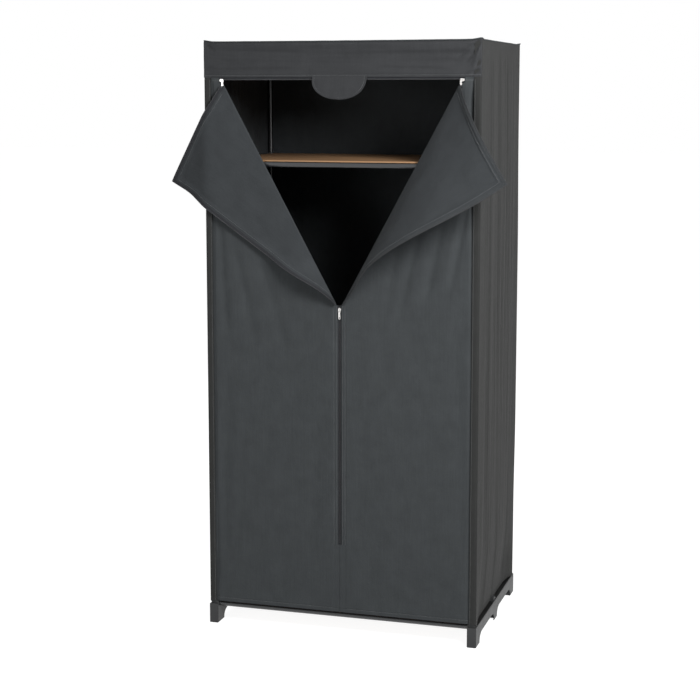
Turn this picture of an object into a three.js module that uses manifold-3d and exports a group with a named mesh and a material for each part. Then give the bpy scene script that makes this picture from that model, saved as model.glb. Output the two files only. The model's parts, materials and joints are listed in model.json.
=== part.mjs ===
// A portable fabric wardrobe: a frame of thin steel tubes pushed onto moulded plastic side
// members, with a sewn cloth cover whose two door flaps are unzipped and folded outwards.
//
// Millimetres, +Z up, the door faces -Y. The origin is on the floor, under the middle of the
// object's box. The left side is at -X, seen from the front.
import * as THREE from "three";
import { mergeVertices } from "three/addons/utils/BufferGeometryUtils.js";
import Module from "manifold-3d";

const wasm = await Module();
wasm.setup();

// Driving dimensions
const wardrobeWidth = 830;
const wardrobeDepth = 570;
const wardrobeHeight = 1750;
const fitGap = 0.3; // between pieces that meet
const cutOverrun = 1; // how far a cut runs past the face that it opens

// Frame tubes
const tubeDiameter = 16;
const tubeWall = 1;
const tubeSides = 16;
const plugLength = 34; // how far a plug reaches into a tube
const plugTaper = 2; // the lead-in at a plug's end
const lowerPostShare = 0.3657; // a lower post's length as a share of the height
const joinerCollar = 3; // shows between two post lengths

// Base mouldings, one under each side, with a front, middle and back foot
const baseWidth = 28;
const baseHeight = 60;
const baseUnderside = 27; // height of the underside between the feet
const baseWall = 2.5;
const baseRimHeight = 4; // a lip along the outer top edge
const baseRimWidth = 3;
const baseBevel = 1.5;
const endFootLength = 52;
const middleFootLength = 44;
const footCurveLength = 32; // the sweep from a foot up to the underside
const footStraight = 5;
const footCurveSteps = 4;
const ribCount = 11;
const ribThickness = 2;
const socketBlockLength = 24; // the raised blocks that carry posts and crossbars
const socketBlockRise = 8; // above the lip
const socketBlockRound = 4;
const crossbarHeight = 58; // centre line

// Side members at the shelf and at the top
const sideMemberHeight = 28;
const sideMemberBevel = 1.5;
const sideMemberPocketDepth = 5;
const sideMemberPocketMargin = 4;
const sideMemberPocketCount = 5;
const shelfDrop = 354; // from the top down to the centre line of the shelf's rails
const hookRoom = 6; // between the clothes rail and the shelf board, for hanger hooks
const boardThickness = 4;
const boardBevel = 0.6;
const boardSideGap = 1;
const boardFrontInset = 13; // from the wardrobe's front face to a board's edge

// Cover
const clothThickness = 1.6;
const foldRoom = 1.6; // how far folds may stand out from the sides
const frontFoldRoom = 1.6;
const coverGap = 0.4; // between the posts and the side cloth
const doorRoom = 10; // from the front face back to the posts, for the door's zips
const hemHeight = 70;
const hemDrawIn = 11; // the hem between the posts is drawn in over the base
const hemDrawHeight = 260;
const sideFoldDepth = 1.6;
const frontFoldDepth = 1.4;
const topSag = 5;
const sagShare = 0.35; // the roof sinks to its full sag within this share of its size
const sideFoldCount = 4;
const backFoldCount = 2.5; // in each half
const frontFoldCount = 3;
const foldEdgeShare = 0.15; // folds die out within this share of a panel from its edges
const hemCurveShare = 0.2; // and the hem is drawn in fully within this share
const headerHeight = 102;
const headerFoldDepth = 1.2;
const tabWidth = 160;
const tabDrop = 71;
const tabOverlap = 8; // how far up the header the tab is sewn on
const tabGap = 6; // the tab hangs this far in front of the header, clear of the sliders
const tabStandOff = 9; // it reaches that distance within this height
const tabCurl = 5; // its rounded end curls out a little more

// Zips: one up the middle, one out to each side below the header
const zipBelowHeader = 8.4; // centre line of the header's zips
const zipBottom = 276;
const zipTapeWidth = 17;
const zipTapeThickness = 0.8;
const zipRowWidth = 2.4;
const zipRowThickness = 2.4;
const zipRowGap = 1.2; // room for the slider's neck between the two rows
const zipStopLength = 8;
const zipClothGap = 6.3; // from the zip's centre line to the edge of the cloth
const zipStub = 30; // the closed end of a header zip, behind the cloth at the corner
const sliderLength = 12;
const sliderWidth = 9;
const sliderPlate = 1.2;
const sliderClearance = 0.4;
const sliderNeck = 0.5;
const sliderNeckLength = 3;
const sliderNeckInset = 1.5;
const bailWidth = 2.4;
const bailHeight = 3.2;
const bailLength = 7;
const bailWire = 1.1;
const pullLength = 27;
const pullNeckWidth = 3.4;
const pullThickness = 1.2;
const pullRingWire = 1;
const pullRingWidth = 4.8; // the ring's hole goes round the bail with room to swing
const pullRingLength = 4;
const pullEndLength = 4.8;
const pullHoleWidth = 3.4;
const pullHoleLength = 5;

// Door flaps, folded out along a line from the corner below the header down to the slider
const openingHalfWidth = 352;
const foldBelowZip = 12; // where the fold line starts
const foldRise = 639; // from where both fold lines meet up to where they start
const rightFoldAngle = 149; // degrees from closed
const leftFoldAngle = 171; // this flap lies flatter on the front
const flapTrim = 17; // the flap's ends stop short of the sliders by this much
const sliderBelowFold = 4; // the middle slider's top below the point where the folds meet
const flapBulge = 5;
const flapHemWidth = 8;

// Worked out from the sizes above
const tubeRadius = tubeDiameter / 2;
const plugRadius = tubeRadius - tubeWall - fitGap;
const lowerPostLength = wardrobeHeight * lowerPostShare;
const postX = wardrobeWidth / 2 - foldRoom - clothThickness - coverGap - tubeRadius;
const postY = wardrobeDepth / 2 - doorRoom - tubeRadius;
const sideInnerX = postX - tubeRadius; // inner face of the side members
const baseInnerX = wardrobeWidth / 2 - baseWidth;
const baseMiddleX = wardrobeWidth / 2 - baseWidth / 2;
const socketTop = baseHeight + socketBlockRise;
const shelfRailHeight = wardrobeHeight - shelfDrop;
const shelfMemberBottom = shelfRailHeight - sideMemberHeight / 2;
const shelfMemberTop = shelfRailHeight + sideMemberHeight / 2;
const clothesRailHeight = shelfRailHeight - hookRoom;
const coverX = wardrobeWidth / 2 - foldRoom; // outer face of the side cloth
const coverFrontY = -wardrobeDepth / 2 + frontFoldRoom; // outer face of the front cloth
const coverBackY = wardrobeDepth / 2 - frontFoldRoom;
const topClothUnderside = wardrobeHeight - clothThickness;
const topMemberTop = topClothUnderside - fitGap;
const topMemberBottom = topMemberTop - sideMemberHeight;
const topRailHeight = topMemberBottom + sideMemberHeight / 2;
const headerBottom = topClothUnderside - headerHeight;
const zipHeight = headerBottom - zipBelowHeader;
const foldTop = zipHeight - foldBelowZip;
const foldBottom = foldTop - foldRise;
const zipFrontY = coverFrontY + clothThickness + fitGap;
const zipRowY = zipFrontY + zipRowThickness / 2;
const tabTop = headerBottom + tabOverlap;
const tabBackY = coverFrontY - fitGap;
const sliderHalfDepth = zipRowThickness / 2 + sliderClearance + sliderPlate;
const sliderFrontY = zipRowY - sliderHalfDepth;
const bailFootOffset = (bailLength - bailWire) / 2; // from the slider's centre
const pullRingCentre = -(pullRingWire + pullRingLength) / 2; // below the point it hangs from
const pullHangOffset = -pullRingCentre - sliderClearance; // its ring's top above a bail foot
const pullPivotY = sliderFrontY - (bailHeight - bailWire) / 2;
const sliderRestZ = foldBottom - sliderBelowFold - sliderLength / 2;
const sliderRestX = openingHalfWidth + sliderLength / 2 + fitGap;

// The colour, roughness and metalness of a surface.
const surface = (color, roughness, metalness) =>
  new THREE.MeshStandardMaterial({ color, roughness, metalness });
const cloth = surface("#404346", 0.85, 0);
const clothInside = surface("#45494c", 0.9, 0);
const darkPlastic = surface("#3a3b3c", 0.55, 0);
const paintedSteel = surface("#4b4e51", 0.35, 0.4);
const hardboard = surface("#9a7552", 0.7, 0);
const zipTape = surface("#1f2123", 0.7, 0);
const zipMetal = surface("#d8d8d6", 0.2, 1);

// Solids: three.js makes the shapes, manifold-3d joins and cuts them

function toSolid(geometry) {
  const bare = geometry.clone();
  bare.deleteAttribute("normal");
  bare.deleteAttribute("uv");
  const merged = mergeVertices(bare, 1e-4);
  return new wasm.Manifold(
    new wasm.Mesh({
      numProp: 3,
      vertProperties: new Float32Array(merged.attributes.position.array),
      triVerts: new Uint32Array(merged.index.array),
    }),
  );
}

function toGeometry(solid) {
  const mesh = solid.getMesh();
  const geometry = new THREE.BufferGeometry();
  geometry.setAttribute("position", new THREE.BufferAttribute(new Float32Array(mesh.vertProperties), 3));
  geometry.setIndex(new THREE.BufferAttribute(new Uint32Array(mesh.triVerts), 1));
  const flatShaded = geometry.toNonIndexed();
  flatShaded.computeVertexNormals();
  return flatShaded;
}

const join = (...geometries) => toGeometry(geometries.map(toSolid).reduce((all, next) => all.add(next)));

const cut = (geometry, ...tools) =>
  toGeometry(tools.map(toSolid).reduce((rest, tool) => rest.subtract(tool), toSolid(geometry)));

// A block between two opposite corners.
function block([x0, y0, z0], [x1, y1, z1]) {
  const made = new THREE.BoxGeometry(Math.abs(x1 - x0), Math.abs(y1 - y0), Math.abs(z1 - z0));
  return made.translate((x0 + x1) / 2, (y0 + y1) / 2, (z0 + z1) / 2);
}

// An outline in X and Y with rounded corners.
function roundedOutline(width, height, round) {
  const outline = new THREE.Shape();
  const [x, y] = [width / 2, height / 2];
  outline.absarc(x - round, y - round, round, 0, Math.PI / 2);
  outline.absarc(-x + round, y - round, round, Math.PI / 2, Math.PI);
  outline.absarc(-x + round, -y + round, round, Math.PI, Math.PI * 1.5);
  outline.absarc(x - round, -y + round, round, Math.PI * 1.5, Math.PI * 2);
  return outline;
}

// An outline drawn in Y and Z, extruded along X from x0 to x1, with bevelled edges.
function extrudeAlongX(outline, x0, x1, bevel, curveSegments) {
  const made = new THREE.ExtrudeGeometry(outline, {
    depth: Math.abs(x1 - x0) - 2 * bevel,
    bevelEnabled: bevel > 0,
    bevelThickness: bevel,
    bevelSize: bevel,
    bevelOffset: -bevel,
    bevelSegments: 1,
    curveSegments,
  });
  made.translate(0, 0, bevel);
  // The outline's X and Y become Y and Z, and the depth becomes X.
  made.applyMatrix4(new THREE.Matrix4().makeBasis(
    new THREE.Vector3(0, 1, 0), new THREE.Vector3(0, 0, 1), new THREE.Vector3(1, 0, 0)));
  return made.translate(Math.min(x0, x1), 0, 0);
}

// A round plug with a tapered end, from a point along a direction.
function plug(start, direction) {
  const profile = [
    new THREE.Vector2(0, -cutOverrun),
    new THREE.Vector2(plugRadius, -cutOverrun),
    new THREE.Vector2(plugRadius, plugLength - plugTaper),
    new THREE.Vector2(plugRadius - plugTaper / 2, plugLength),
    new THREE.Vector2(0, plugLength),
  ];
  return aim(new THREE.LatheGeometry(profile, tubeSides), start, direction);
}

// Turns a geometry made along +Y so that it points along a direction from a start point.
function aim(geometry, start, direction) {
  const [up, along] = [new THREE.Vector3(0, 1, 0), new THREE.Vector3(...direction)];
  const turn = new THREE.Quaternion().setFromUnitVectors(up, along);
  return geometry.applyQuaternion(turn).translate(...start);
}

// An open steel tube between two points of an axis-parallel line.
function tube(start, direction, length) {
  const profile = [
    new THREE.Vector2(tubeRadius - tubeWall, 0),
    new THREE.Vector2(tubeRadius, 0),
    new THREE.Vector2(tubeRadius, length),
    new THREE.Vector2(tubeRadius - tubeWall, length),
    new THREE.Vector2(tubeRadius - tubeWall, 0),
  ];
  return aim(new THREE.LatheGeometry(profile, tubeSides), start, direction);
}

// A sheet of cloth: pointAt(u, v) gives its outer face, and thickness goes along inward.
function clothSheet(pointAt, inward, uStops, vStops, thickness = clothThickness) {
  const inside = new THREE.Vector3(...inward).multiplyScalar(thickness);
  const faces = [[], []];
  for (const v of vStops)
    for (const u of uStops) {
      const outer = pointAt(u, v);
      faces[0].push(outer);
      faces[1].push(outer.clone().add(inside));
    }
  const [columns, rows] = [uStops.length, vStops.length];
  const across = faces[0][1].clone().sub(faces[0][0]);
  const up = faces[0][columns].clone().sub(faces[0][0]);
  const outerFacesOut = across.cross(up).dot(inside) < 0;
  const positions = [];
  const triangle = (a, b, c) => {
    for (const p of outerFacesOut ? [a, b, c] : [a, c, b]) positions.push(p.x, p.y, p.z);
  };
  const quad = (a, b, c, d) => {
    triangle(a, b, c);
    triangle(a, c, d);
  };
  const at = (face, column, row) => faces[face][row * columns + column];
  for (let row = 0; row < rows - 1; row++)
    for (let column = 0; column < columns - 1; column++) {
      const corners = (face) => [at(face, column, row), at(face, column + 1, row),
        at(face, column + 1, row + 1), at(face, column, row + 1)];
      quad(...corners(0));
      quad(...corners(1).reverse());
    }
  const rim = (a, b) => quad(at(0, ...b), at(0, ...a), at(1, ...a), at(1, ...b));
  for (let column = 0; column < columns - 1; column++) {
    rim([column, 0], [column + 1, 0]);
    rim([column + 1, rows - 1], [column, rows - 1]);
  }
  for (let row = 0; row < rows - 1; row++) {
    rim([0, row + 1], [0, row]);
    rim([columns - 1, row], [columns - 1, row + 1]);
  }
  const geometry = new THREE.BufferGeometry();
  geometry.setAttribute("position", new THREE.Float32BufferAttribute(positions, 3));
  geometry.computeVertexNormals();
  return geometry;
}

// Evenly spaced values from one number to another, both ends included.
const stops = (from, to, steps) =>
  Array.from({ length: steps + 1 }, (_, i) => THREE.MathUtils.lerp(from, to, i / steps));

// 0 at both ends of 0 to 1, and 1 over most of the way between. It starts to rise at fromShare.
const plateau = (t, edgeShare, fromShare = 0) =>
  THREE.MathUtils.smoothstep(Math.min(t, 1 - t), fromShare, edgeShare);

// Frame

function addMesh(group, name, geometry, material) {
  const mesh = new THREE.Mesh(geometry, material);
  mesh.name = name;
  group.add(mesh);
  return mesh;
}

// The side view of a base moulding: a bar on three feet, with a swept arch between each two.
function baseOutline() {
  const [half, middle] = [wardrobeDepth / 2, middleFootLength / 2];
  const outline = new THREE.Shape();
  outline.moveTo(-half, 0);
  outline.lineTo(-half + endFootLength, 0);
  drawArch(outline, -half + endFootLength, -middle);
  outline.lineTo(middle, 0);
  drawArch(outline, middle, half - endFootLength);
  outline.lineTo(half, 0);
  outline.lineTo(half, baseHeight);
  outline.lineTo(-half, baseHeight);
  outline.closePath();
  return outline;
}

function drawArch(outline, from, to) {
  const [run, rise] = [footCurveLength, baseUnderside - footStraight];
  outline.absellipse(from + run, footStraight, run, rise, Math.PI, Math.PI / 2, true);
  outline.absellipse(to - run, footStraight, run, rise, Math.PI / 2, 0, true);
  outline.lineTo(to, 0);
}

// A base moulding for the right side: a ribbed shell, open below, with raised socket blocks.
function rightBase() {
  const outerX = wardrobeWidth / 2;
  const halfDepth = wardrobeDepth / 2;
  const floorOfRim = baseHeight - baseRimHeight;
  const body = extrudeAlongX(baseOutline(), baseInnerX, outerX, baseBevel, footCurveSteps);
  const rimCut = block([baseInnerX - cutOverrun, -halfDepth + baseRimWidth, floorOfRim],
    [outerX - baseRimWidth, halfDepth - baseRimWidth, baseHeight + cutOverrun]);
  const pitch = (wardrobeDepth - 2 * baseWall + ribThickness) / (ribCount + 1);
  const cells = stops(0, ribCount, ribCount).map((cell) => {
    const start = -halfDepth + baseWall + cell * pitch;
    return block([baseInnerX + baseWall, start, -cutOverrun],
      [outerX - baseWall, start + pitch - ribThickness, floorOfRim - baseWall]);
  });
  const blockInnerX = baseInnerX;
  const blockOuterX = coverX - clothThickness - coverGap;
  const socketBlocks = [-postY, 0, postY].map((y) => {
    const outline = roundedOutline(blockOuterX - blockInnerX, socketBlockLength, socketBlockRound);
    const made = new THREE.ExtrudeGeometry(outline, {
      depth: socketTop - floorOfRim + baseWall / 2, bevelEnabled: false, curveSegments: 3 });
    return made.translate((blockInnerX + blockOuterX) / 2, y, floorOfRim - baseWall / 2);
  });
  const crossbarPlugs = [-postY, 0, postY].map((y) => plug([baseInnerX, y, crossbarHeight], [-1, 0, 0]));
  const postPlugs = [-postY, postY].map((y) => plug([postX, y, socketTop], [0, 0, 1]));
  return join(cut(body, rimCut, ...cells), ...socketBlocks, ...crossbarPlugs, ...postPlugs);
}

// A moulded bar between the front and back posts of the right side, with shallow pockets in its
// inner face. Plugs go down and up into the posts, and inwards into the rails.
function rightSideMember(bottom, rails, plugDirections) {
  const halfLength = postY + tubeRadius;
  const middle = bottom + sideMemberHeight / 2;
  const outline = roundedOutline(2 * halfLength, sideMemberHeight, tubeRadius / 2);
  const body = extrudeAlongX(outline, sideInnerX, postX + tubeRadius, sideMemberBevel, 2);
  body.translate(0, 0, middle);
  const pocketRun = (2 * postY - socketBlockLength) / sideMemberPocketCount;
  const pockets = stops(0, sideMemberPocketCount - 1, sideMemberPocketCount - 1).map((i) => {
    const start = -postY + socketBlockLength / 2 + i * pocketRun + sideMemberPocketMargin / 2;
    return block([sideInnerX - cutOverrun, start, bottom + sideMemberPocketMargin],
      [sideInnerX + sideMemberPocketDepth, start + pocketRun - sideMemberPocketMargin,
        bottom + sideMemberHeight - sideMemberPocketMargin]);
  });
  const seatLength = sideMemberPocketDepth + cutOverrun;
  const railSeats = rails.map(([y, z]) => {
    const seat = new THREE.CylinderGeometry(tubeRadius, tubeRadius, seatLength, tubeSides);
    return aim(seat.translate(0, seatLength / 2, 0), [sideInnerX, y, z], [1, 0, 0]);
  });
  const railPlugs = rails.map(([y, z]) => plug([sideInnerX, y, z], [-1, 0, 0]));
  const postPlugs = plugDirections.flatMap((direction) => [-postY, postY].map((y) =>
    plug([postX, y, direction > 0 ? bottom + sideMemberHeight : bottom], [0, 0, direction])));
  return join(cut(body, ...pockets), ...railSeats, ...railPlugs, ...postPlugs);
}

const mirrorToLeft = (geometry) => {
  const mirrored = geometry.clone().scale(-1, 1, 1);
  const position = mirrored.getAttribute("position");
  // Mirroring turns every triangle inside out, so two corners of each are swapped back.
  for (let i = 0; i < position.count; i += 3) {
    const [bx, by, bz] = [position.getX(i + 1), position.getY(i + 1), position.getZ(i + 1)];
    position.setXYZ(i + 1, position.getX(i + 2), position.getY(i + 2), position.getZ(i + 2));
    position.setXYZ(i + 2, bx, by, bz);
  }
  mirrored.computeVertexNormals();
  return mirrored;
};

function addPair(group, name, rightGeometry, material) {
  addMesh(group, `${name}_right`, rightGeometry, material);
  addMesh(group, `${name}_left`, mirrorToLeft(rightGeometry), material);
}

// A tube from side to side, pushed onto the plugs of both side members.
function crossTube(innerX, y, z) {
  return tube([-innerX + fitGap, y, z], [1, 0, 0], 2 * (innerX - fitGap));
}

// The plug and collar that joins a lower post to a middle post.
function postJoiner(y) {
  const seam = socketTop + fitGap + lowerPostLength;
  const collar = new THREE.CylinderGeometry(tubeRadius, tubeRadius, joinerCollar, tubeSides);
  return join(
    aim(collar, [postX, y, seam + fitGap + joinerCollar / 2], [0, 0, 1]),
    plug([postX, y, seam + fitGap + joinerCollar], [0, 0, 1]),
    plug([postX, y, seam + fitGap], [0, 0, -1]),
  );
}

function addPosts(group) {
  const seam = socketTop + fitGap + lowerPostLength;
  const middleStart = seam + 2 * fitGap + joinerCollar;
  const lengths = [
    ["post_lower", socketTop + fitGap, lowerPostLength],
    ["post_middle", middleStart, shelfMemberBottom - fitGap - middleStart],
    ["post_upper", shelfMemberTop + fitGap, topMemberBottom - shelfMemberTop - 2 * fitGap],
  ];
  for (const [row, y] of [["front", -postY], ["back", postY]]) {
    for (const [name, start, length] of lengths) {
      const post = tube([postX, y, start], [0, 0, 1], length).toNonIndexed();
      addPair(group, `${name}_${row}`, post, paintedSteel);
    }
    addPair(group, `post_joiner_${row}`, postJoiner(y), darkPlastic);
  }
}

// A board that lies on three tubes, between the side members.
function board(tubeHeight, innerX) {
  const [width, depth] = [2 * (innerX - boardSideGap), wardrobeDepth - 2 * boardFrontInset];
  const outline = roundedOutline(width, depth, boardThickness);
  const made = new THREE.ExtrudeGeometry(outline, {
    depth: boardThickness - 2 * boardBevel, bevelThickness: boardBevel, bevelSize: boardBevel,
    bevelOffset: -boardBevel, bevelSegments: 1, curveSegments: 2 });
  return made.translate(0, 0, tubeHeight + tubeRadius + fitGap + boardBevel);
}

function addFrame(group) {
  addPair(group, "base_side", rightBase(), darkPlastic);
  for (const [name, y] of [["front", -postY], ["middle", 0], ["back", postY]])
    addMesh(group, `base_crossbar_${name}`, crossTube(baseInnerX, y, crossbarHeight), paintedSteel);
  addMesh(group, "floor_board", board(crossbarHeight, baseInnerX), hardboard);
  addPosts(group);
  const shelfRails = [[-postY, shelfRailHeight], [0, clothesRailHeight], [postY, shelfRailHeight]];
  addPair(group, "shelf_side", rightSideMember(shelfMemberBottom, shelfRails, [-1, 1]), darkPlastic);
  addMesh(group, "shelf_rail_front", crossTube(sideInnerX, -postY, shelfRailHeight), paintedSteel);
  addMesh(group, "clothes_rail", crossTube(sideInnerX, 0, clothesRailHeight), paintedSteel);
  addMesh(group, "shelf_rail_back", crossTube(sideInnerX, postY, shelfRailHeight), paintedSteel);
  addMesh(group, "shelf_board", board(shelfRailHeight, sideInnerX), hardboard);
  const topRails = [[-postY, topRailHeight], [postY, topRailHeight]];
  addPair(group, "top_side", rightSideMember(topMemberBottom, topRails, [-1]), darkPlastic);
  addMesh(group, "top_rail_front", crossTube(sideInnerX, -postY, topRailHeight), paintedSteel);
  addMesh(group, "top_rail_back", crossTube(sideInnerX, postY, topRailHeight), paintedSteel);
}

// Cover

// Depth of the vertical folds at a place t, 0 to 1, across a panel.
function verticalFolds(t, count, depth) {
  const main = Math.sin(2 * Math.PI * count * t);
  const second = Math.sin(2 * Math.PI * count * 1.7 * t + 1);
  return depth * (0.65 * main + 0.35 * second);
}

function sideCloth() {
  const [front, back] = [coverFrontY + clothThickness + fitGap, coverBackY - clothThickness - fitGap];
  const [bottom, top] = [hemHeight, topClothUnderside - fitGap];
  const postShare = (1.5 * tubeDiameter + doorRoom) / wardrobeDepth; // the posts keep the cloth out
  const pointAt = (y, z) => {
    const t = (y - front) / (back - front);
    const low = 1 - THREE.MathUtils.smoothstep(z, bottom, bottom + hemDrawHeight);
    const wave = (1 + verticalFolds(t, sideFoldCount, 1)) / 2;
    const folds = wave * sideFoldDepth * plateau(t, foldEdgeShare);
    const drawIn = hemDrawIn * low * plateau(t, hemCurveShare, postShare);
    return new THREE.Vector3(coverX + folds * (1 - low) - drawIn, y, z);
  };
  return clothSheet(pointAt, [-1, 0, 0], stops(front, back, 18), stops(bottom, top, 10));
}

function backCloth() {
  const [bottom, top] = [hemHeight, topClothUnderside - fitGap];
  const pointAt = (x, z) => {
    const share = Math.abs(x) / coverX;
    const inward = THREE.MathUtils.smoothstep(1 - share, 0, foldEdgeShare);
    const high = plateau((z - bottom) / (top - bottom), foldEdgeShare);
    const folds = verticalFolds(share, backFoldCount, frontFoldDepth) * inward * high;
    return new THREE.Vector3(x, coverBackY + folds, z);
  };
  return clothSheet(pointAt, [0, -1, 0], stops(-coverX, coverX, 20), stops(bottom, top, 5));
}

// The roof rests on the side members and rails, and sags a little between them.
function topCloth() {
  const [innerX, innerY] = [sideInnerX - fitGap, postY - tubeRadius - fitGap];
  const share = (at, half) => THREE.MathUtils.clamp((at + half) / (2 * half), 0, 1);
  const pointAt = (x, y) => {
    const sag = topSag * plateau(share(x, innerX), sagShare) * plateau(share(y, innerY), sagShare);
    return new THREE.Vector3(x, y, topClothUnderside + clothThickness - sag);
  };
  const xStops = [-coverX, ...stops(-innerX, innerX, 12), coverX];
  const yStops = [coverFrontY, ...stops(-innerY, innerY, 10), coverBackY];
  return clothSheet(pointAt, [0, 0, -1], xStops, yStops);
}

function headerCloth() {
  const [bottom, top] = [headerBottom, topClothUnderside - fitGap];
  const pointAt = (x, z) => {
    const t = (z - bottom) / (top - bottom);
    const share = Math.abs(x) / coverX;
    const nearCorner = 1 - THREE.MathUtils.smoothstep(share, 0.85, 1);
    const folds = Math.sin(2 * Math.PI * (1.5 * t + 0.4 * share)) * plateau(t, 0.4, 0.17) * nearCorner;
    return new THREE.Vector3(x, coverFrontY - headerFoldDepth * Math.abs(folds), z);
  };
  return clothSheet(pointAt, [0, 1, 0], stops(-coverX, coverX, 18), stops(bottom, top, 6));
}

// The fold line's distance from the middle at a height, straight between its two ends.
const foldLineX = (z) =>
  THREE.MathUtils.lerp(zipClothGap, openingHalfWidth, (z - foldBottom) / foldRise);

// The inner edge of the right front cloth, by height: the seam, the zip, the fold line and a
// notch for the header's slider.
function frontInnerEdge(z) {
  if (z <= zipBottom - 2 * zipStopLength) return fitGap / 2;
  if (z <= foldBottom) return zipClothGap;
  if (z <= foldTop) return foldLineX(z);
  return sliderRestX + sliderLength / 2 + zipRowGap;
}

function rightFrontCloth() {
  const top = headerBottom - fitGap;
  const heights = [
    ...stops(hemHeight, zipBottom - 2 * zipStopLength, 2),
    ...stops(zipBottom - zipStopLength, foldBottom, 6),
    ...stops(foldBottom, foldTop, 7).slice(1),
    foldTop + zipStopLength / 2,
    top,
  ];
  const pointAt = (u, z) => {
    const inner = frontInnerEdge(z);
    const x = THREE.MathUtils.lerp(inner, coverX, u);
    const high = (z - hemHeight) / (top - hemHeight);
    const inside = plateau(u, 2 * foldEdgeShare) * plateau(high, foldEdgeShare);
    const folds = verticalFolds(x / coverX, frontFoldCount, frontFoldDepth) * inside;
    return new THREE.Vector3(x, coverFrontY - Math.max(folds, -frontFoldDepth / 2), z);
  };
  return clothSheet(pointAt, [0, 1, 0], stops(0, 1, 10), heights);
}

// The right flap as it lies when closed, before its group folds it out.
function rightFlapCloth() {
  const top = zipHeight - zipClothGap;
  const bottom = foldBottom + 2 * flapTrim;
  const upper = foldTop - flapTrim;
  const heights = [...stops(bottom, upper, 9), top];
  const outerEdge = (z) => (z <= upper ? foldLineX(z) - fitGap * 2 : foldLineX(upper) - flapTrim);
  const pointAt = (u, z) => {
    const x = THREE.MathUtils.lerp(zipClothGap, outerEdge(z), u);
    const high = (z - bottom) / (top - bottom);
    const pastZip = THREE.MathUtils.smoothstep(x, zipTapeWidth, openingHalfWidth / 3);
    const bulge = flapBulge * plateau(u, 0.5) * 2 * high * (1 - high) * pastZip;
    return new THREE.Vector3(x, coverFrontY + bulge, z);
  };
  return clothSheet(pointAt, [0, 1, 0], stops(0, 1, 8), heights);
}

// A half-round tab, sewn on along its top edge. It stands out from the header, clear of the
// sliders, and hides the place where the three zips meet.
function tabCloth() {
  const pointAt = (u, turn) => {
    const drop = tabDrop * Math.sin(turn);
    const out = tabGap * THREE.MathUtils.smoothstep(drop, 0, tabStandOff) + tabCurl * (1 - Math.cos(turn));
    const halfWidth = (tabWidth / 2) * Math.cos(turn);
    return new THREE.Vector3(u * halfWidth, tabBackY - clothThickness - out, tabTop - drop);
  };
  const turns = [0, 0.05, 0.11, ...stops(0.25, 1.45, 5)];
  return clothSheet(pointAt, [0, 1, 0], stops(-1, 1, 8), turns);
}

// Zips

// A row of closed teeth with its tape, along a straight line between two points in X and Z.
// side is the direction from the line towards the tape. The tape lies on the cloth's inside.
function zipRow([x0, z0], [x1, z1], [sideX, sideZ]) {
  const rowFar = zipRowGap / 2 + zipRowWidth;
  const strip = (near, far, thickness) => block(
    [x0 + sideX * near, zipFrontY, z0 + sideZ * near],
    [x1 + sideX * far, zipFrontY + thickness, z1 + sideZ * far]);
  const row = strip(zipRowGap / 2, rowFar, zipRowThickness);
  const tape = strip(rowFar - zipRowGap, zipTapeWidth, zipTapeThickness);
  return [row, tape];
}

// The middle zip below the slider: two rows, held together by a stop at the bottom.
function middleZip() {
  const top = foldBottom - fitGap;
  const rowFar = zipRowGap / 2 + zipRowWidth;
  const stop = block([-rowFar, zipFrontY, zipBottom - zipStopLength],
    [rowFar, zipFrontY + zipRowThickness, zipBottom]);
  return join(...zipRow([0, zipBottom - zipRowWidth], [0, top], [1, 0]),
    ...zipRow([0, zipBottom - zipRowWidth], [0, top], [-1, 0]), stop);
}

// The header's own rows run its whole width, and each end is closed by a stub of the lower rows.
function headerZip() {
  const end = openingHalfWidth + zipStub;
  const upper = zipRow([-end, zipHeight], [end, zipHeight], [0, 1]);
  const corners = [1, -1].flatMap((side) => {
    const stub = zipRow([side * (openingHalfWidth + fitGap), zipHeight], [side * end, zipHeight], [0, -1]);
    const stop = block([side * (end - zipStopLength / 2), zipFrontY, zipHeight - zipRowWidth],
      [side * end, zipFrontY + zipRowThickness, zipHeight + zipRowWidth]);
    return [...stub, stop];
  });
  return join(...upper, ...corners);
}

// The rows and tapes on the closed right flap: up its middle edge and along its top edge.
function rightFlapZip() {
  const bottom = foldBottom + 2 * flapTrim;
  const end = foldLineX(foldTop - flapTrim) - flapTrim - zipRowWidth;
  const upright = zipRow([0, bottom], [0, zipHeight - zipRowGap / 2], [1, 0]);
  const level = zipRow([zipRowGap / 2, zipHeight], [end, zipHeight], [0, -1]);
  return join(...upright, ...level);
}

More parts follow.
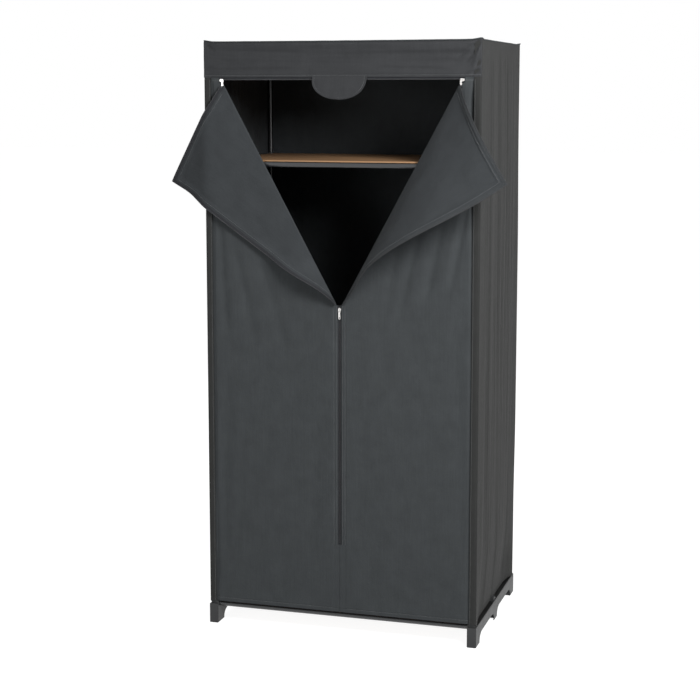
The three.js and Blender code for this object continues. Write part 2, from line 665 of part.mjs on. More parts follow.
// A slider at the origin that travels along Z: two plates round the rows, a thin neck between
// the rows at its leading end, and a bail for the pull on its front.
function sliderBody() {
  const inner = zipRowThickness / 2 + sliderClearance;
  const outline = new THREE.Shape();
  const [half, tail] = [sliderWidth / 2, sliderWidth / 3];
  outline.moveTo(-tail, -sliderLength / 2);
  outline.lineTo(tail, -sliderLength / 2);
  outline.lineTo(half, sliderLength / 6);
  outline.quadraticCurveTo(half, sliderLength / 2, 0, sliderLength / 2);
  outline.quadraticCurveTo(-half, sliderLength / 2, -half, sliderLength / 6);
  const thick = { depth: sliderPlate, bevelEnabled: false, curveSegments: 4 };
  const plate = (back) =>
    new THREE.ExtrudeGeometry(outline, thick).rotateX(Math.PI / 2).translate(0, back, 0);
  const neckTop = sliderLength / 2 - sliderNeckInset;
  const neck = block([-sliderNeck / 2, -inner - sliderPlate / 2, neckTop - sliderNeckLength],
    [sliderNeck / 2, inner + sliderPlate / 2, neckTop]);
  const bailFront = -sliderHalfDepth - bailHeight;
  const bailFoot = (z) => block([-bailWidth / 2, bailFront, z - bailWire / 2],
    [bailWidth / 2, -inner - sliderPlate / 2, z + bailWire / 2]);
  const bailTop = block([-bailWidth / 2, bailFront, -bailLength / 2],
    [bailWidth / 2, bailFront + bailWire, bailLength / 2]);
  const bail = [bailFoot(-bailFootOffset), bailFoot(bailFootOffset), bailTop];
  return join(plate(-inner), plate(inner + sliderPlate), neck, ...bail);
}

// A pull that hangs from the origin: its ring passes through the bail, and its end has a slot.
function pullBody() {
  const [wide, narrow] = [pullRingWidth / 2 + pullRingWire, pullNeckWidth / 2];
  const ringHeight = pullRingLength / 2 + pullRingWire;
  const [neckZ, endZ] = [-pullLength / 3, pullEndLength - pullLength];
  const outline = new THREE.Shape();
  outline.moveTo(-narrow, neckZ);
  outline.absellipse(0, pullRingCentre, wide, ringHeight, Math.PI, 0, true);
  outline.lineTo(narrow, neckZ);
  outline.absellipse(0, endZ, wide, pullEndLength, 0, -Math.PI, true);
  const thick = { depth: pullThickness, bevelEnabled: false, curveSegments: 6 };
  const plate = new THREE.ExtrudeGeometry(outline, thick);
  plate.rotateX(Math.PI / 2).translate(0, pullThickness / 2, 0);
  const ringHole = ovalHole(pullRingWidth, pullRingLength).translate(0, 0, pullRingCentre);
  const slot = ovalHole(pullHoleWidth, pullHoleLength).translate(0, 0, endZ);
  return cut(plate, ringHole, slot);
}

// An oval cutter, wide along X and long along Z.
function ovalHole(width, length) {
  const round = new THREE.CylinderGeometry(width / 2, width / 2, 3 * pullThickness, 12);
  return round.scale(1, 1, length / width);
}

// The middle slider's pull swings out from between the bail's feet. A slider that lies on its
// side carries its pull on the foot nearer the middle.
function addSlider(group, name, x, z, side) {
  const body = addMesh(group, `slider_${name}`, sliderBody(), zipMetal);
  body.position.set(x, zipRowY, z);
  body.rotation.y = (-side * Math.PI) / 2;
  const pull = addMesh(group, `slider_pull_${name}`, pullBody(), zipMetal);
  const hangsFromFoot = Math.abs(side);
  pull.position.set(x - side * bailFootOffset, pullPivotY, z + hangsFromFoot * pullHangOffset);
}

function addFlap(group, name, side, foldAngle, [clothGeometry, zipGeometry]) {
  const top = new THREE.Vector3(side * openingHalfWidth, coverFrontY, foldTop);
  const bottom = new THREE.Vector3(side * zipClothGap, coverFrontY, foldBottom);
  const axis = top.clone().sub(bottom).normalize();
  const fold = new THREE.Group();
  fold.position.copy(bottom);
  fold.quaternion.setFromAxisAngle(axis, THREE.MathUtils.degToRad(side * foldAngle));
  const laidFlat = new THREE.Group();
  laidFlat.position.copy(bottom).negate();
  fold.add(laidFlat);
  group.add(fold);
  addMesh(laidFlat, `flap_${name}`, clothGeometry, clothInside);
  addMesh(laidFlat, `flap_zip_${name}`, zipGeometry, zipTape);
}

function addCover(group) {
  addPair(group, "cover_side", sideCloth(), cloth);
  addMesh(group, "cover_back", backCloth(), cloth);
  addMesh(group, "cover_top", topCloth(), cloth);
  addMesh(group, "cover_header", headerCloth(), cloth);
  addPair(group, "cover_front", rightFrontCloth(), cloth);
  addMesh(group, "header_tab", tabCloth(), cloth);
  const flap = [rightFlapCloth(), rightFlapZip()];
  addFlap(group, "right", 1, rightFoldAngle, flap);
  addFlap(group, "left", -1, leftFoldAngle, flap.map(mirrorToLeft));
  addMesh(group, "zip_middle", middleZip(), zipTape);
  addMesh(group, "zip_header", headerZip(), zipTape);
  addSlider(group, "middle", 0, sliderRestZ, 0);
  addSlider(group, "right", sliderRestX, zipHeight, 1);
  addSlider(group, "left", -sliderRestX, zipHeight, -1);
}

const wardrobe = new THREE.Group();
addFrame(wardrobe);
addCover(wardrobe);

// The flaps reach out in front and unevenly to the sides, so the whole is moved to centre its
// box on the origin.
const model = new THREE.Group();
model.add(wardrobe);
const box = new THREE.Box3().setFromObject(wardrobe, true);
const middle = box.getCenter(new THREE.Vector3());
wardrobe.position.set(-middle.x, -middle.y, 0);

export default model;
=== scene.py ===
import json
from math import cos, exp, hypot, pi, radians, sin

import bpy
from mathutils import Matrix, Quaternion, Vector, noise


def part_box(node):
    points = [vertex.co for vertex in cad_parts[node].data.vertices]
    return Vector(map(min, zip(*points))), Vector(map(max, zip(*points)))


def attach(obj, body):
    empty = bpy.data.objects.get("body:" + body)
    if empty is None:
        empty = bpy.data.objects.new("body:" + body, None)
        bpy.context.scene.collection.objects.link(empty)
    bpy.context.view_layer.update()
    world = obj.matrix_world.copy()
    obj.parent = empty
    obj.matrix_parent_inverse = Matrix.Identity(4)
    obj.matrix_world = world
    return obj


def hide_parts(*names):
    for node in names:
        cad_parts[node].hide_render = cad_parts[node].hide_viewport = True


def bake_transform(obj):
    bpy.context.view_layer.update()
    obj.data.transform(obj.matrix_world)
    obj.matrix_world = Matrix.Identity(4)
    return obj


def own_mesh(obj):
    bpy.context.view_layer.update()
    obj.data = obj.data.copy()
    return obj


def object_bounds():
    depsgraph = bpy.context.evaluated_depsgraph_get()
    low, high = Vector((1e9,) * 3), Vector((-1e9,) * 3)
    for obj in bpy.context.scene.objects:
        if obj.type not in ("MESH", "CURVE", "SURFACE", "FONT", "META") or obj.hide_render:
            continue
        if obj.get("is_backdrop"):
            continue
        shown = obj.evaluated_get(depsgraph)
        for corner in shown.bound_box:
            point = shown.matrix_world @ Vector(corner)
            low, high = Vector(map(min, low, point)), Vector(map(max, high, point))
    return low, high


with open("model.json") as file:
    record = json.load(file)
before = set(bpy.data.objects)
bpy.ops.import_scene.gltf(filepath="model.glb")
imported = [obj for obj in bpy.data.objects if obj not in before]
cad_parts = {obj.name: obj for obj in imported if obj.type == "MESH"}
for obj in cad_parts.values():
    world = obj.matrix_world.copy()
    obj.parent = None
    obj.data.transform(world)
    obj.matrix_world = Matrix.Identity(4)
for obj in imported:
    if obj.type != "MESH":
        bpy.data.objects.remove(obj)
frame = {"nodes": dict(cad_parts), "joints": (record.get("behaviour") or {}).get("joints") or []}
cad_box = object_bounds()
nodes = frame["nodes"]
joints = {joint["name"]: joint for joint in frame["joints"]}

# ------------------------------------------------------------------ sizes, in metres
# Everything is laid out from the middle of the front: x from the middle, y from the front
# cloth's outer face towards the back, z from the floor.
roof_low, roof_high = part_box("cover_top")
MIDDLE_X = (roof_low.x + roof_high.x) / 2
FRONT_Y = roof_low.y
HALF_WIDTH = (roof_high.x - roof_low.x) / 2
DEPTH = roof_high.y - roof_low.y
TOP_Z = roof_high.z
HEM_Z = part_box("cover_side_right")[0].z
HEADER_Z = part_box("cover_header")[0].z
FRONT_TOP_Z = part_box("cover_front_right")[1].z
ZIP_STOP_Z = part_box("zip_middle")[0].z + 0.008
HEADER_ZIP_Z = joints["pull_right_swing"]["pos_m"][2]

CLOTH = 0.0012  # thickness of one layer
HEM = 0.0026  # and where it is turned over
HEM_WIDTH = 0.0175  # beside the middle zip
BOTTOM_HEM = 0.011
HEADER_HEM = 0.008
HEM_TOP_Z = HEM_Z + BOTTOM_HEM
HEM_ROWS = (0, 0.0006, 0.0020, 0.0060, 0.0095, 0.0104, 0.0110, 0.0116, 0.0128, 0.0180)
ABOVE_HEM_Z = 0.100  # even rows start here
SEAMS = (0.0085, 0.0170)  # stitch lines beside a zip, from its middle
FLAP_SEAMS = (0.0042, 0.0125)  # and on a flap, from its edges
TOP_SEAMS = (1.6368, 1.6396)  # and across the door's upper corners
TOP_INSET = 0.0004  # which draw the cloth in this far
HEADER_SEAM = 0.0056  # above the header's lower edge
STITCH = 0.0026
STITCH_PITCH = 0.0038
STITCH_RADIUS = 0.00035

ZIP_EDGE = 0.0066  # the cloth stops this far from a zip's middle
TAPE_EDGE = 0.0006  # and the tape starts this far from it
TOP_TAPE_EDGE = 0.0012  # along a flap's top, clear of the pull that swings along the zip
TAPE_WIDTH = 0.0114
FLAP_ZIP_RUNS = (0.645, 0.343)  # its lengths, beside the middle and the header zip
TAPE_DEPTH = 0.0029  # the tape lies this far behind the cloth's outer face
TAPE = 0.0006
TOOTH_PITCH = 0.0024
TOOTH_REACH = 0.0028  # away from the zip's middle
HEADER_ZIP_REACH = 0.3800

EAR = 0.030  # how far a sewn top corner reaches along the edges
SIDE_HEM = 0.0608  # the sides hang lower than the front, down to the sill
BLOCK_Y = 0.285  # and ride over the block of the middle crossbar
BLOCK_RISE = 0.0085
WRAP = 0.0210  # the side cloth comes this far round onto the front
BACK_WRAP = 0.022  # and onto the back
CORNER = 0.0065  # radius of the cover's upright corners
BACK_CORNER = 0.0105
PIPING = 0.0018  # radius of the cord round the roof
BINDING = 0.0013  # and of the tab's bound edge
DRAW_IN = 0.0130  # the side hem is tucked in over the base
DRAW_HEIGHT = 0.26
SEAM_X = HALF_WIDTH - WRAP
DOOR_EDGE_X = SEAM_X + 0.006  # the door cloth ends under the side cloth's edge

FOLD_RADIUS = 0.0022
FOLD_LEAD = 0.0032  # flat cloth on either side of the fold that belongs to the fold strip
hinge = joints["flap_right_fold"]
FOLD_X = hinge["pos_m"][0] - MIDDLE_X
FOLD_Z = hinge["pos_m"][2]
ALONG = Vector((abs(hinge["axis"][0]), 0, abs(hinge["axis"][2]))).normalized()
ACROSS = Vector((-ALONG.z, 0, ALONG.x))  # on the closed door, from the fold to the zip
FOLD_TOP_Z = 1.626
FOLD_LENGTH = (FOLD_TOP_Z - FOLD_Z) / ALONG.z
FOLD_START = -FOLD_RADIUS - FOLD_LEAD  # across, on the door's side of the fold
ARC_END = FOLD_RADIUS * (pi - 0.03) - FOLD_RADIUS  # and where the bent cloth ends
FIRST_ROW = 0.0085  # the fold strip starts this far along the fold
LAST_ROW = FOLD_LENGTH - 0.0030
DOOR_TOP_Z = 1.6317  # the door's top edge at the middle
TOP_SLOPE = (DOOR_TOP_Z - 1.6260) / 0.346  # and how steeply it falls outwards
TOP_CORNER_X = 0.3650  # above the fold, the door starts this far out
DOOR_GAP = 0.0004  # and below the zip's stop, this close to the middle

SIDES = {"right": 1, "left": -1}
FORWARD = Vector((0, -1, 0))
BACKWARD = Vector((0, 1, 0))
UPWARD = Vector((0, 0, 1))


def place(x, y, z):
    return Vector((MIDDLE_X + x, FRONT_Y + y, z))


def smooth(t):
    t = min(max(t, 0.0), 1.0)
    return t * t * (3 - 2 * t)


def mix(a, b, t):
    return a + (b - a) * t


def spread(start, end, count):
    """count + 1 even steps from start to end."""
    return [mix(start, end, i / count) for i in range(count + 1)]


def quarter(x, y, radius, start, count):
    """Stations (x, y, normal) of a quarter turn about a point."""
    return [(x + radius * cos(turn), y + radius * sin(turn), (cos(turn), sin(turn)))
            for turn in spread(start, start + pi / 2, count)]


def edged(low, high, rim, count):
    """From low to high: the rim's close steps at both ends, count even ones between."""
    return ([low + step for step in rim[:-1]] + spread(low + rim[-1], high - rim[-1], count)
            + [high - step for step in rim[-2::-1]])


def soft_noise(x, y, z):
    return noise.noise(Vector((x, y, z)))


def groove(distance, width=0.0009):
    return exp(-(distance / width) ** 2)


def each(value, count):
    """One vector for every point, or the list that gives each its own."""
    return [value] * count if isinstance(value, Vector) else value


# ------------------------------------------------------------------ mesh collecting
class Piece:
    """Collects the surfaces of one piece before it becomes an object."""

    def __init__(self):
        self.points = []
        self.faces = []
        self.slots = []
        self.uvs = []
        self.flat_area = 0.0

    def add(self, points, uvs, *groups):
        """New points, and groups of faces on them with their material slot."""
        start = len(self.points)
        self.points += points
        self.uvs += uvs or [(0.0, 0.0)] * len(points)
        for faces, slot in groups:
            self.faces += [[start + i for i in face] for face in faces]
            self.slots += [slot] * len(faces)

    def layers(self, rows, normals, uvs, thick):
        """A closed sheet: outer layer on the rows, inner layer behind it, rims between."""
        high, wide = len(rows), len(rows[0])
        outer, normal, uv, depth = ([cell for row in grid for cell in row]
                                    for grid in (rows, normals, uvs, thick))
        inner = [p - n * t for p, n, t in zip(outer, normal, depth)]
        size = high * wide
        quads = [[k, k + 1, k + wide + 1, k + wide]
                 for i in range(high - 1) for k in range(i * wide, i * wide + wide - 1)]
        middle = quads[len(quads) // 2]
        a, b, c = (outer[middle[i]] for i in (0, 1, 2))
        if (b - a).cross(c - a).dot(normal[middle[0]]) < 0:
            quads = [face[::-1] for face in quads]
        edge = list(range(wide))
        edge += [i * wide + wide - 1 for i in range(1, high)]
        edge += [size - 1 - j for j in range(1, wide)]
        edge += [(high - 1 - i) * wide for i in range(1, high - 1)]
        rim = [[b, a, a + size, b + size] for a, b in zip(edge, edge[1:] + edge[:1])]
        first = quads[0]
        if not any(first[i] == edge[0] and first[(i + 1) % 4] == edge[1] for i in range(4)):
            rim = [face[::-1] for face in rim]
        back = [[size + i for i in reversed(face)] for face in quads]
        self.add(outer + inner, uv + uv, (quads, 0), (back, 1), (rim, 0))
        for face in quads:
            a, b, c, d = (Vector((*uv[i], 0)) for i in face)
            self.flat_area += ((c - a).cross(d - b)).length / 2

    def tube(self, path, radius, sides, slot, closed=False):
        """A round cord along a path."""
        count = len(path)
        rings = []
        side = None
        for i, point in enumerate(path):
            before = path[i - 1] if i or closed else point
            after = path[(i + 1) % count] if i < count - 1 or closed else point
            heading = (after - before).normalized()
            if side is None:
                side = heading.orthogonal().normalized()
            side = (side - heading * side.dot(heading)).normalized()
            other = heading.cross(side)
            for k in range(sides):
                turn = 2 * pi * k / sides
                rings.append(point + (side * cos(turn) + other * sin(turn)) * radius)
        faces = []
        for i in range(count if closed else count - 1):
            here, there = i * sides, ((i + 1) % count) * sides
            for k in range(sides):
                m = (k + 1) % sides
                faces.append([here + k, here + m, there + m, there + k])
        if not closed:
            faces.append(list(range(sides))[::-1])
            faces.append([(count - 1) * sides + k for k in range(sides)])
        self.add(rings, None, (faces, slot))

    def block(self, corners):
        """A small block of the zip's nylon: four corners, then the four opposite them."""
        faces = [[3, 2, 1, 0], [4, 5, 6, 7]]
        faces += [[i, (i + 1) % 4, (i + 1) % 4 + 4, i + 4] for i in range(4)]
        a, b, d, e = (corners[i] for i in (0, 1, 3, 4))
        if (b - a).cross(d - a).dot(e - a) < 0:
            faces = [face[::-1] for face in faces]
        self.add(corners, None, (faces, 3))

    def stitches(self, path, outward):
        """Raised stitches along a seam; outward is the cloth's normal."""
        outward = each(outward, len(path))
        for middle, heading, i in pitched(path, STITCH_PITCH):
            half = heading * STITCH / 2
            lift = outward[i] * STITCH_RADIUS * 0.7
            dip = outward[i] * STITCH_RADIUS
            line = [middle - half - dip, middle - half * 0.6 + lift,
                    middle + half * 0.6 + lift, middle + half - dip]
            self.tube(line, STITCH_RADIUS, 4, 2)

    def coil(self, path, across, normals, lifts):
        """A zip's loops on both faces of a tape's edge; across points away from its middle."""
        normals = each(normals, len(path))
        across = each(across, len(path))
        self.loops(path, across, normals, lifts[0])
        back = [p - n * TAPE for p, n in zip(path, normals)]
        self.loops(back, across, [-n for n in normals], lifts[1])

    def loops(self, path, across, normals, lift):
        for middle, heading, i in pitched(path, TOOTH_PITCH):
            half = heading * TOOTH_PITCH * 0.31
            low = middle - normals[i] * 0.0002
            high = middle + normals[i] * lift
            side = across[i] * TOOTH_REACH
            tip = side * 0.18
            inset = half * 0.55
            self.block([low - half, low + half, low + half + side, low - half + side,
                        high - inset + tip, high + inset + tip,
                        high + inset + side - tip, high - inset + side - tip])

    def tape(self, stations):
        """Zip tape; its stations are an edge point, the opposite point and the normal."""
        travelled = 0.0
        uvs = []
        for i, (a, b, _) in enumerate(stations):
            if i:
                travelled += (a - stations[i - 1][0]).length
            wide = (b - a).length
            uvs.append([(0.0, travelled), (wide / 2, travelled), (wide, travelled)])
        self.layers([[a, (a + b) / 2, b] for a, b, _ in stations],
                    [[n] * 3 for _, _, n in stations], uvs, [[TAPE] * 3] * len(stations))

    def build(self, name, materials):
        mesh = bpy.data.meshes.new(name)
        mesh.from_pydata(self.points, [], self.faces)
        layer = mesh.uv_layers.new(name="cloth")
        for loop in mesh.loops:
            layer.data[loop.index].uv = self.uvs[loop.vertex_index]
        for material in materials:
            mesh.materials.append(material)
        for polygon, slot in zip(mesh.polygons, self.slots):
            polygon.material_index = slot
            polygon.use_smooth = True
        mesh.set_sharp_from_angle(angle=radians(50))
        mesh.update()
        made = bpy.data.objects.new(name, mesh)
        bpy.context.scene.collection.objects.link(made)
        return made


def pitched(path, pitch):
    """Points at an even pitch along a path, each with its heading and its stretch's number."""
    travelled = pitch / 2
    for i, (a, b) in enumerate(zip(path, path[1:])):
        length = (b - a).length
        if length < 1e-6:
            continue
        heading = (b - a) / length
        while travelled < length:
            yield a + heading * travelled, heading, i
            travelled += pitch
        travelled -= length


def woven(down, across, station):
    """What station(row, column) gives over a sheet, as one grid for each of its values."""
    cells = [[station(a, b) for b in (across(a) if callable(across) else across)]
             for a in down]
    return [[[cell[k] for cell in line] for line in cells] for k in range(len(cells[0][0]))]


def woven_piece(down, across, station, facing):
    rows, uvs, thick = woven(down, across, station)
    piece = Piece()
    piece.layers(rows, grid_normals(rows, facing), uvs, thick)
    return piece


def grid_normals(rows, facing):
    """Normals of a grid of points, on the side that facing, a vector or a grid, points to."""
    high, wide = len(rows), len(rows[0])
    out = []
    for i in range(high):
        line = []
        for j in range(wide):
            up = rows[min(i + 1, high - 1)][j] - rows[max(i - 1, 0)][j]
            right = rows[i][min(j + 1, wide - 1)] - rows[i][max(j - 1, 0)]
            normal = right.cross(up)
            toward = facing if isinstance(facing, Vector) else facing[i][j]
            if normal.length < 1e-12:
                normal = toward.copy()
            normal.normalize()
            if normal.dot(toward) < 0:
                normal.negate()
            line.append(normal)
        out.append(line)
    return out


def hem_depth(z):
    return HEM if z < HEM_TOP_Z else CLOTH


def rows_up_to(top, count):
    """Heights of the hem's rows, then count even steps up to the top."""
    return [HEM_Z + step for step in HEM_ROWS] + spread(ABOVE_HEM_Z, top, count)


def finish_piece(piece, name, materials, body, replaced=()):
    made = piece.build(name, materials)
    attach(made, body)
    if replaced:
        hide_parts(*replaced)
    return made


# ------------------------------------------------------------------ materials
class Nodes:
    """The shader tree of a material or a world, filled node by node."""

    def __init__(self, owner):
        owner.use_nodes = True
        self.tree = owner.node_tree

    def put(self, socket, value):
        if hasattr(value, "is_output"):
            self.tree.links.new(value, socket)
        else:
            socket.default_value = value

    def fill(self, node, sockets):
        for key, value in sockets.items():
            self.put(node.inputs[key], value)
        return node

    def node(self, kind, sockets=None, **settings):
        """A new node; sockets has values, or outputs to link, by input name or number."""
        made = self.tree.nodes.new("ShaderNode" + kind)
        for key, value in settings.items():
            setattr(made, key, value)
        return self.fill(made, sockets or {})

    def math(self, kind, a, b):
        return self.node("Math", {0: a, 1: b}, operation=kind).outputs["Value"]

    def choose(self, plain, straight):
        """One shader for rays that the camera, a reflection or clear plastic sends, and
        another, plain, for the rest."""
        path = self.node("LightPath").outputs
        sent = path["Is Camera Ray"]
        for kind in ("Is Glossy Ray", "Is Transmission Ray"):
            sent = self.math("MAXIMUM", sent, path[kind])
        chosen = self.node("MixShader", {0: sent, 1: plain.outputs[0], 2: straight.outputs[0]})
        return chosen.outputs[0]


class Look(Nodes):
    """A procedural material: a Principled shader and the textures that feed it."""

    def __init__(self, name, rough, metal=0.0, sheen=0.0, specular=0.5, coat=0.0,
                 source="Object"):
        self.source = source
        self.material = bpy.data.materials.new(name)
        super().__init__(self.material)
        self.shader = self.fill(self.tree.nodes["Principled BSDF"], {
            "Roughness": rough, "Metallic": metal, "Specular IOR Level": specular,
            "Sheen Weight": sheen, "Sheen Roughness": 0.45,
            "Coat Weight": coat, "Coat Roughness": 0.2,
        })

    def where(self, scale):
        """Texture coordinates in metres, times scale."""
        coords = self.node("TexCoord").outputs[self.source]
        return self.node("Mapping", {"Vector": coords, "Scale": scale}).outputs["Vector"]

    def noise(self, scale, detail=3.0, rough=0.55):
        scale = scale if isinstance(scale, tuple) else (scale,) * 3
        return self.node("TexNoise", {"Vector": self.where(scale), "Scale": 1.0,
                                      "Detail": detail, "Roughness": rough}).outputs["Fac"]

    def wave(self, pitch, direction):
        return self.node("TexWave", {
            "Vector": self.where((1, 1, 1)), "Scale": 2 * pi / (20 * pitch),
            "Distortion": 0.6, "Detail": 1.0, "Detail Scale": 0.7,
        }, bands_direction=direction).outputs["Fac"]

    def ramp(self, value, stops):
        made = self.node("ValToRGB", {"Fac": value})
        for element, (position, colour) in zip(made.color_ramp.elements, stops):
            element.position = position
            element.color = (*colour, 1.0)
        return made.outputs["Color"]

    def blend(self, kind, amount, a, b):
        made = self.node("Mix", data_type="RGBA", blend_type=kind)
        sockets = [s for s in made.inputs if s.enabled]
        for socket, value in zip(sockets, (amount, a, b)):
            self.put(socket, (*value, 1.0) if isinstance(value, tuple) else value)
        return [s for s in made.outputs if s.enabled][0]

    def part(self, source, axis):
        """One part of the piece's own position or normal."""
        coords = self.node("TexCoord").outputs[source]
        return self.node("SeparateXYZ", {"Vector": coords}).outputs[axis]

    def done(self, colour, bumps, rough=None):
        """The finished material. Bumps are layers, coarse to fine, as (height, depth in
        metres, strength); rough is a texture, how much of it counts, and what is added."""
        sockets = {}
        for height, depth, strength in bumps:
            made = self.node("Bump", {"Height": height, "Distance": depth,
                                      "Strength": strength, **sockets})
            sockets = {"Normal": made.outputs["Normal"]}
        if rough:
            texture, share, base = rough
            sockets["Roughness"] = self.math("ADD", self.math("MULTIPLY", texture, share), base)
        self.fill(self.shader, {"Base Color": colour, **sockets})
        return self.material


WHITE = (1, 1, 1)


def scaled(colour, share):
    return tuple(c * share for c in colour)


def shades(colour, low, high):
    """Two stops of a ramp: the colour darkened and lightened."""
    return [(0.3, scaled(colour, low)), (0.7, scaled(colour, high))]


def mask(start, end):
    """Two stops of a ramp that lets through only the texture's peaks."""
    return [(start, (0, 0, 0)), (end, WHITE)]


def cloth_look(name, colour, streaks=1.0):
    """Plain woven polyester: fine threads, slubs along the warp, faint dust and a dry sheen."""
    look = Look(name, rough=0.82, sheen=0.04, specular=0.08, source="UV")
    slub = look.noise((220, 9, 220), detail=2.0)
    grain = look.noise(900, detail=2.0)
    worn = look.ramp(look.noise((22, 18, 22), detail=6.0, rough=0.6),
                     shades(colour, 0.92, 1.08))
    for texture, depth in ((slub, 0.04 * streaks), (grain, 0.07)):
        layer = look.ramp(texture, shades(WHITE, 1 - depth, 1 + depth))
        worn = look.blend("MULTIPLY", 1.0, worn, layer)
    dust = look.ramp(look.noise((34, 30, 34), detail=6.0, rough=0.7), mask(0.62, 0.9))
    dusty = look.blend("MIX", look.math("MULTIPLY", dust, 0.10), worn, scaled(colour, 1.9))
    weave = look.math("MAXIMUM", look.wave(0.0008, "X"), look.wave(0.0008, "Y"))
    crumple = look.noise((26, 17, 26), detail=5.0, rough=0.6)
    fine = look.noise((110, 80, 110), detail=4.0, rough=0.6)
    return look.done(dusty, [(crumple, 0.0045, 0.45), (fine, 0.0010, 0.35),
                             (slub, 0.0004, 0.3), (weave, 0.00025, 0.5)],
                     (grain, 0.12, 0.74))


def plastic_look():
    """Moulded plastic, scuffed along its length, with painted shade on the sills' upward faces.
    """
    look = Look("dark_plastic", rough=0.50, specular=0.2)
    colour = (0.036, 0.037, 0.038)
    haze = look.noise(14, detail=4.0)
    scuff = look.noise((60, 260, 260), detail=6.0, rough=0.7)
    base = look.ramp(haze, shades(colour, 0.9, 1.1))
    marks = look.math("MULTIPLY", look.ramp(scuff, mask(0.62, 0.8)), 0.25)
    scuffed = look.blend("MIX", marks, base, scaled(colour, 2.1))
    # painted shade: the sills' upward faces under the cover's hem, where light hardly reaches,
    # are darkened in the colour
    height = look.part("Object", "Z")
    painted_shade_mask = look.math("GREATER_THAN", look.part("Normal", "Z"), 0.9)
    for kind, limit in (("GREATER_THAN", 0.050), ("LESS_THAN", 0.0615)):
        painted_shade_mask = look.math("MULTIPLY", painted_shade_mask, look.math(kind, height, limit))
    shade = look.math("SUBTRACT", 1.0, look.math("MULTIPLY", painted_shade_mask, 0.85))
    spark = look.noise(1400, detail=2.0)
    return look.done(look.blend("MULTIPLY", 1.0, scuffed, shade),
                     [(haze, 0.0008, 0.15), (spark, 0.0002, 0.35)], (haze, 0.18, 0.36))


def steel_look():
    """Powder paint on drawn tube: orange peel and small chips."""
    look = Look("painted_steel", rough=0.20, specular=0.5, coat=0.35)
    colour = (0.019, 0.020, 0.022)
    haze = look.noise(7)
    peel = look.noise(420, detail=2.0)
    chip = look.noise(120, detail=5.0, rough=0.75)
    base = look.ramp(haze, shades(colour, 0.9, 1.1))
    chips = look.ramp(chip, mask(0.70, 0.76))
    chipped = look.blend("MIX", look.math("MULTIPLY", chips, 0.4), base, scaled(colour, 2.5))
    return look.done(chipped, [(peel, 0.0002, 0.25), (chips, 0.0001, 0.3)],
                     (peel, 0.10, 0.15))


def board_look():
    """Hardboard: pressed brown fibres, smoother and darker in patches."""
    look = Look("hardboard", rough=0.6, specular=0.35)
    fibre = look.noise((420, 900, 420), detail=6.0, rough=0.7)
    patch = look.noise(6, detail=4.0)
    base = look.ramp(patch, shades((0.300, 0.170, 0.085), 0.85, 1.12))
    fibres = look.ramp(fibre, shades(WHITE, 0.78, 1.2))
    return look.done(look.blend("MULTIPLY", 1.0, base, fibres), [(fibre, 0.0003, 0.5)],
                     (fibre, 0.25, 0.45))


def metal_look():
    """Nickel plate: bright, brushed one way, duller in the hollows."""
    look = Look("zip_metal", rough=0.3, metal=1.0)
    brushed = look.noise((3000, 300, 600), detail=4.0)
    tarnish = look.noise(160, detail=4.0)
    colour = look.ramp(tarnish, [(0.2, (0.32, 0.31, 0.30)), (0.55, (0.52, 0.51, 0.50))])
    return look.done(colour, [(brushed, 0.00008, 0.4)], (brushed, 0.22, 0.12))


def tape_look(name, colour):
    """Woven zip tape: a tight herringbone."""
    look = Look(name, rough=0.8, sheen=0.04, specular=0.1, source="UV")
    rib = look.wave(0.0011, "X")
    step = look.wave(0.0007, "DIAGONAL")
    base = look.ramp(rib, shades(colour, 0.75, 1.25))
    fade = look.ramp(look.noise((40, 8, 40)), shades(WHITE, 0.85, 1.15))
    return look.done(look.blend("MULTIPLY", 1.0, base, fade),
                     [(rib, 0.0003, 0.5), (step, 0.0002, 0.4)], (rib, 0.1, 0.72))


def tooth_look():
    """Nylon coil: black, a little glossy, with a rubbed crown."""
    look = Look("zip_teeth", rough=0.35, specular=0.5)
    rub = look.noise(300)
    colour = look.ramp(rub, [(0.3, (0.022, 0.022, 0.024)), (0.75, (0.042, 0.043, 0.046))])
    return look.done(colour, [(rub, 0.0001, 0.3)], (rub, 0.3, 0.25))


def thread_look():
    """Spun polyester thread with its twist."""
    look = Look("thread", rough=0.7, sheen=0.2, specular=0.35)
    twist = look.noise(2400, detail=1.0)
    return look.done(look.ramp(twist, shades((0.120, 0.126, 0.130), 0.8, 1.2)),
                     [(twist, 0.0001, 0.5)])


CLOTH_OUT = cloth_look("cloth", (0.0415, 0.0455, 0.0480))
CLOTH_IN = cloth_look("cloth_inside", (0.0370, 0.0405, 0.0435), streaks=0.6)
# painted shade: the sides are the same cloth as the front, given a darker colour for their
# shading
SHADED_SIDE_CLOTH = cloth_look("cloth_side_painted_shade", (0.0275, 0.0280, 0.0275), streaks=0.8)
# painted shade: the header and the tab are the same cloth as the front, given a darker colour
# for their shading
SHADED_HEADER_CLOTH = cloth_look("cloth_header_painted_shade", (0.0342, 0.0354, 0.0376))
PLASTIC = plastic_look()
STEEL = steel_look()
BOARD = board_look()
METAL = metal_look()
# painted shade: one zip tape in two colours; the darker copy, on the middle and header zips and
# the left flap, is partly the tape's own dark and partly painted shade, the lighter copy near
# the cloth's colour is the tape as lit on the right flap
SHADED_TAPE_LOOK = tape_look("zip_tape", (0.026, 0.027, 0.030))
LIT_FLAP_TAPE = tape_look("flap_tape", (0.0385, 0.0415, 0.0440))
TEETH = tooth_look()
THREAD = thread_look()
FABRIC = (CLOTH_OUT, CLOTH_IN, THREAD)
ZIPPER = (SHADED_TAPE_LOOK, SHADED_TAPE_LOOK, THREAD, TEETH)
FLAP_ZIPPER = (LIT_FLAP_TAPE, LIT_FLAP_TAPE, THREAD, TEETH)
# painted shade: the header and the tab wear the darker header cloth
SHADED_HEADER_FABRIC = (SHADED_HEADER_CLOTH, CLOTH_IN, THREAD)


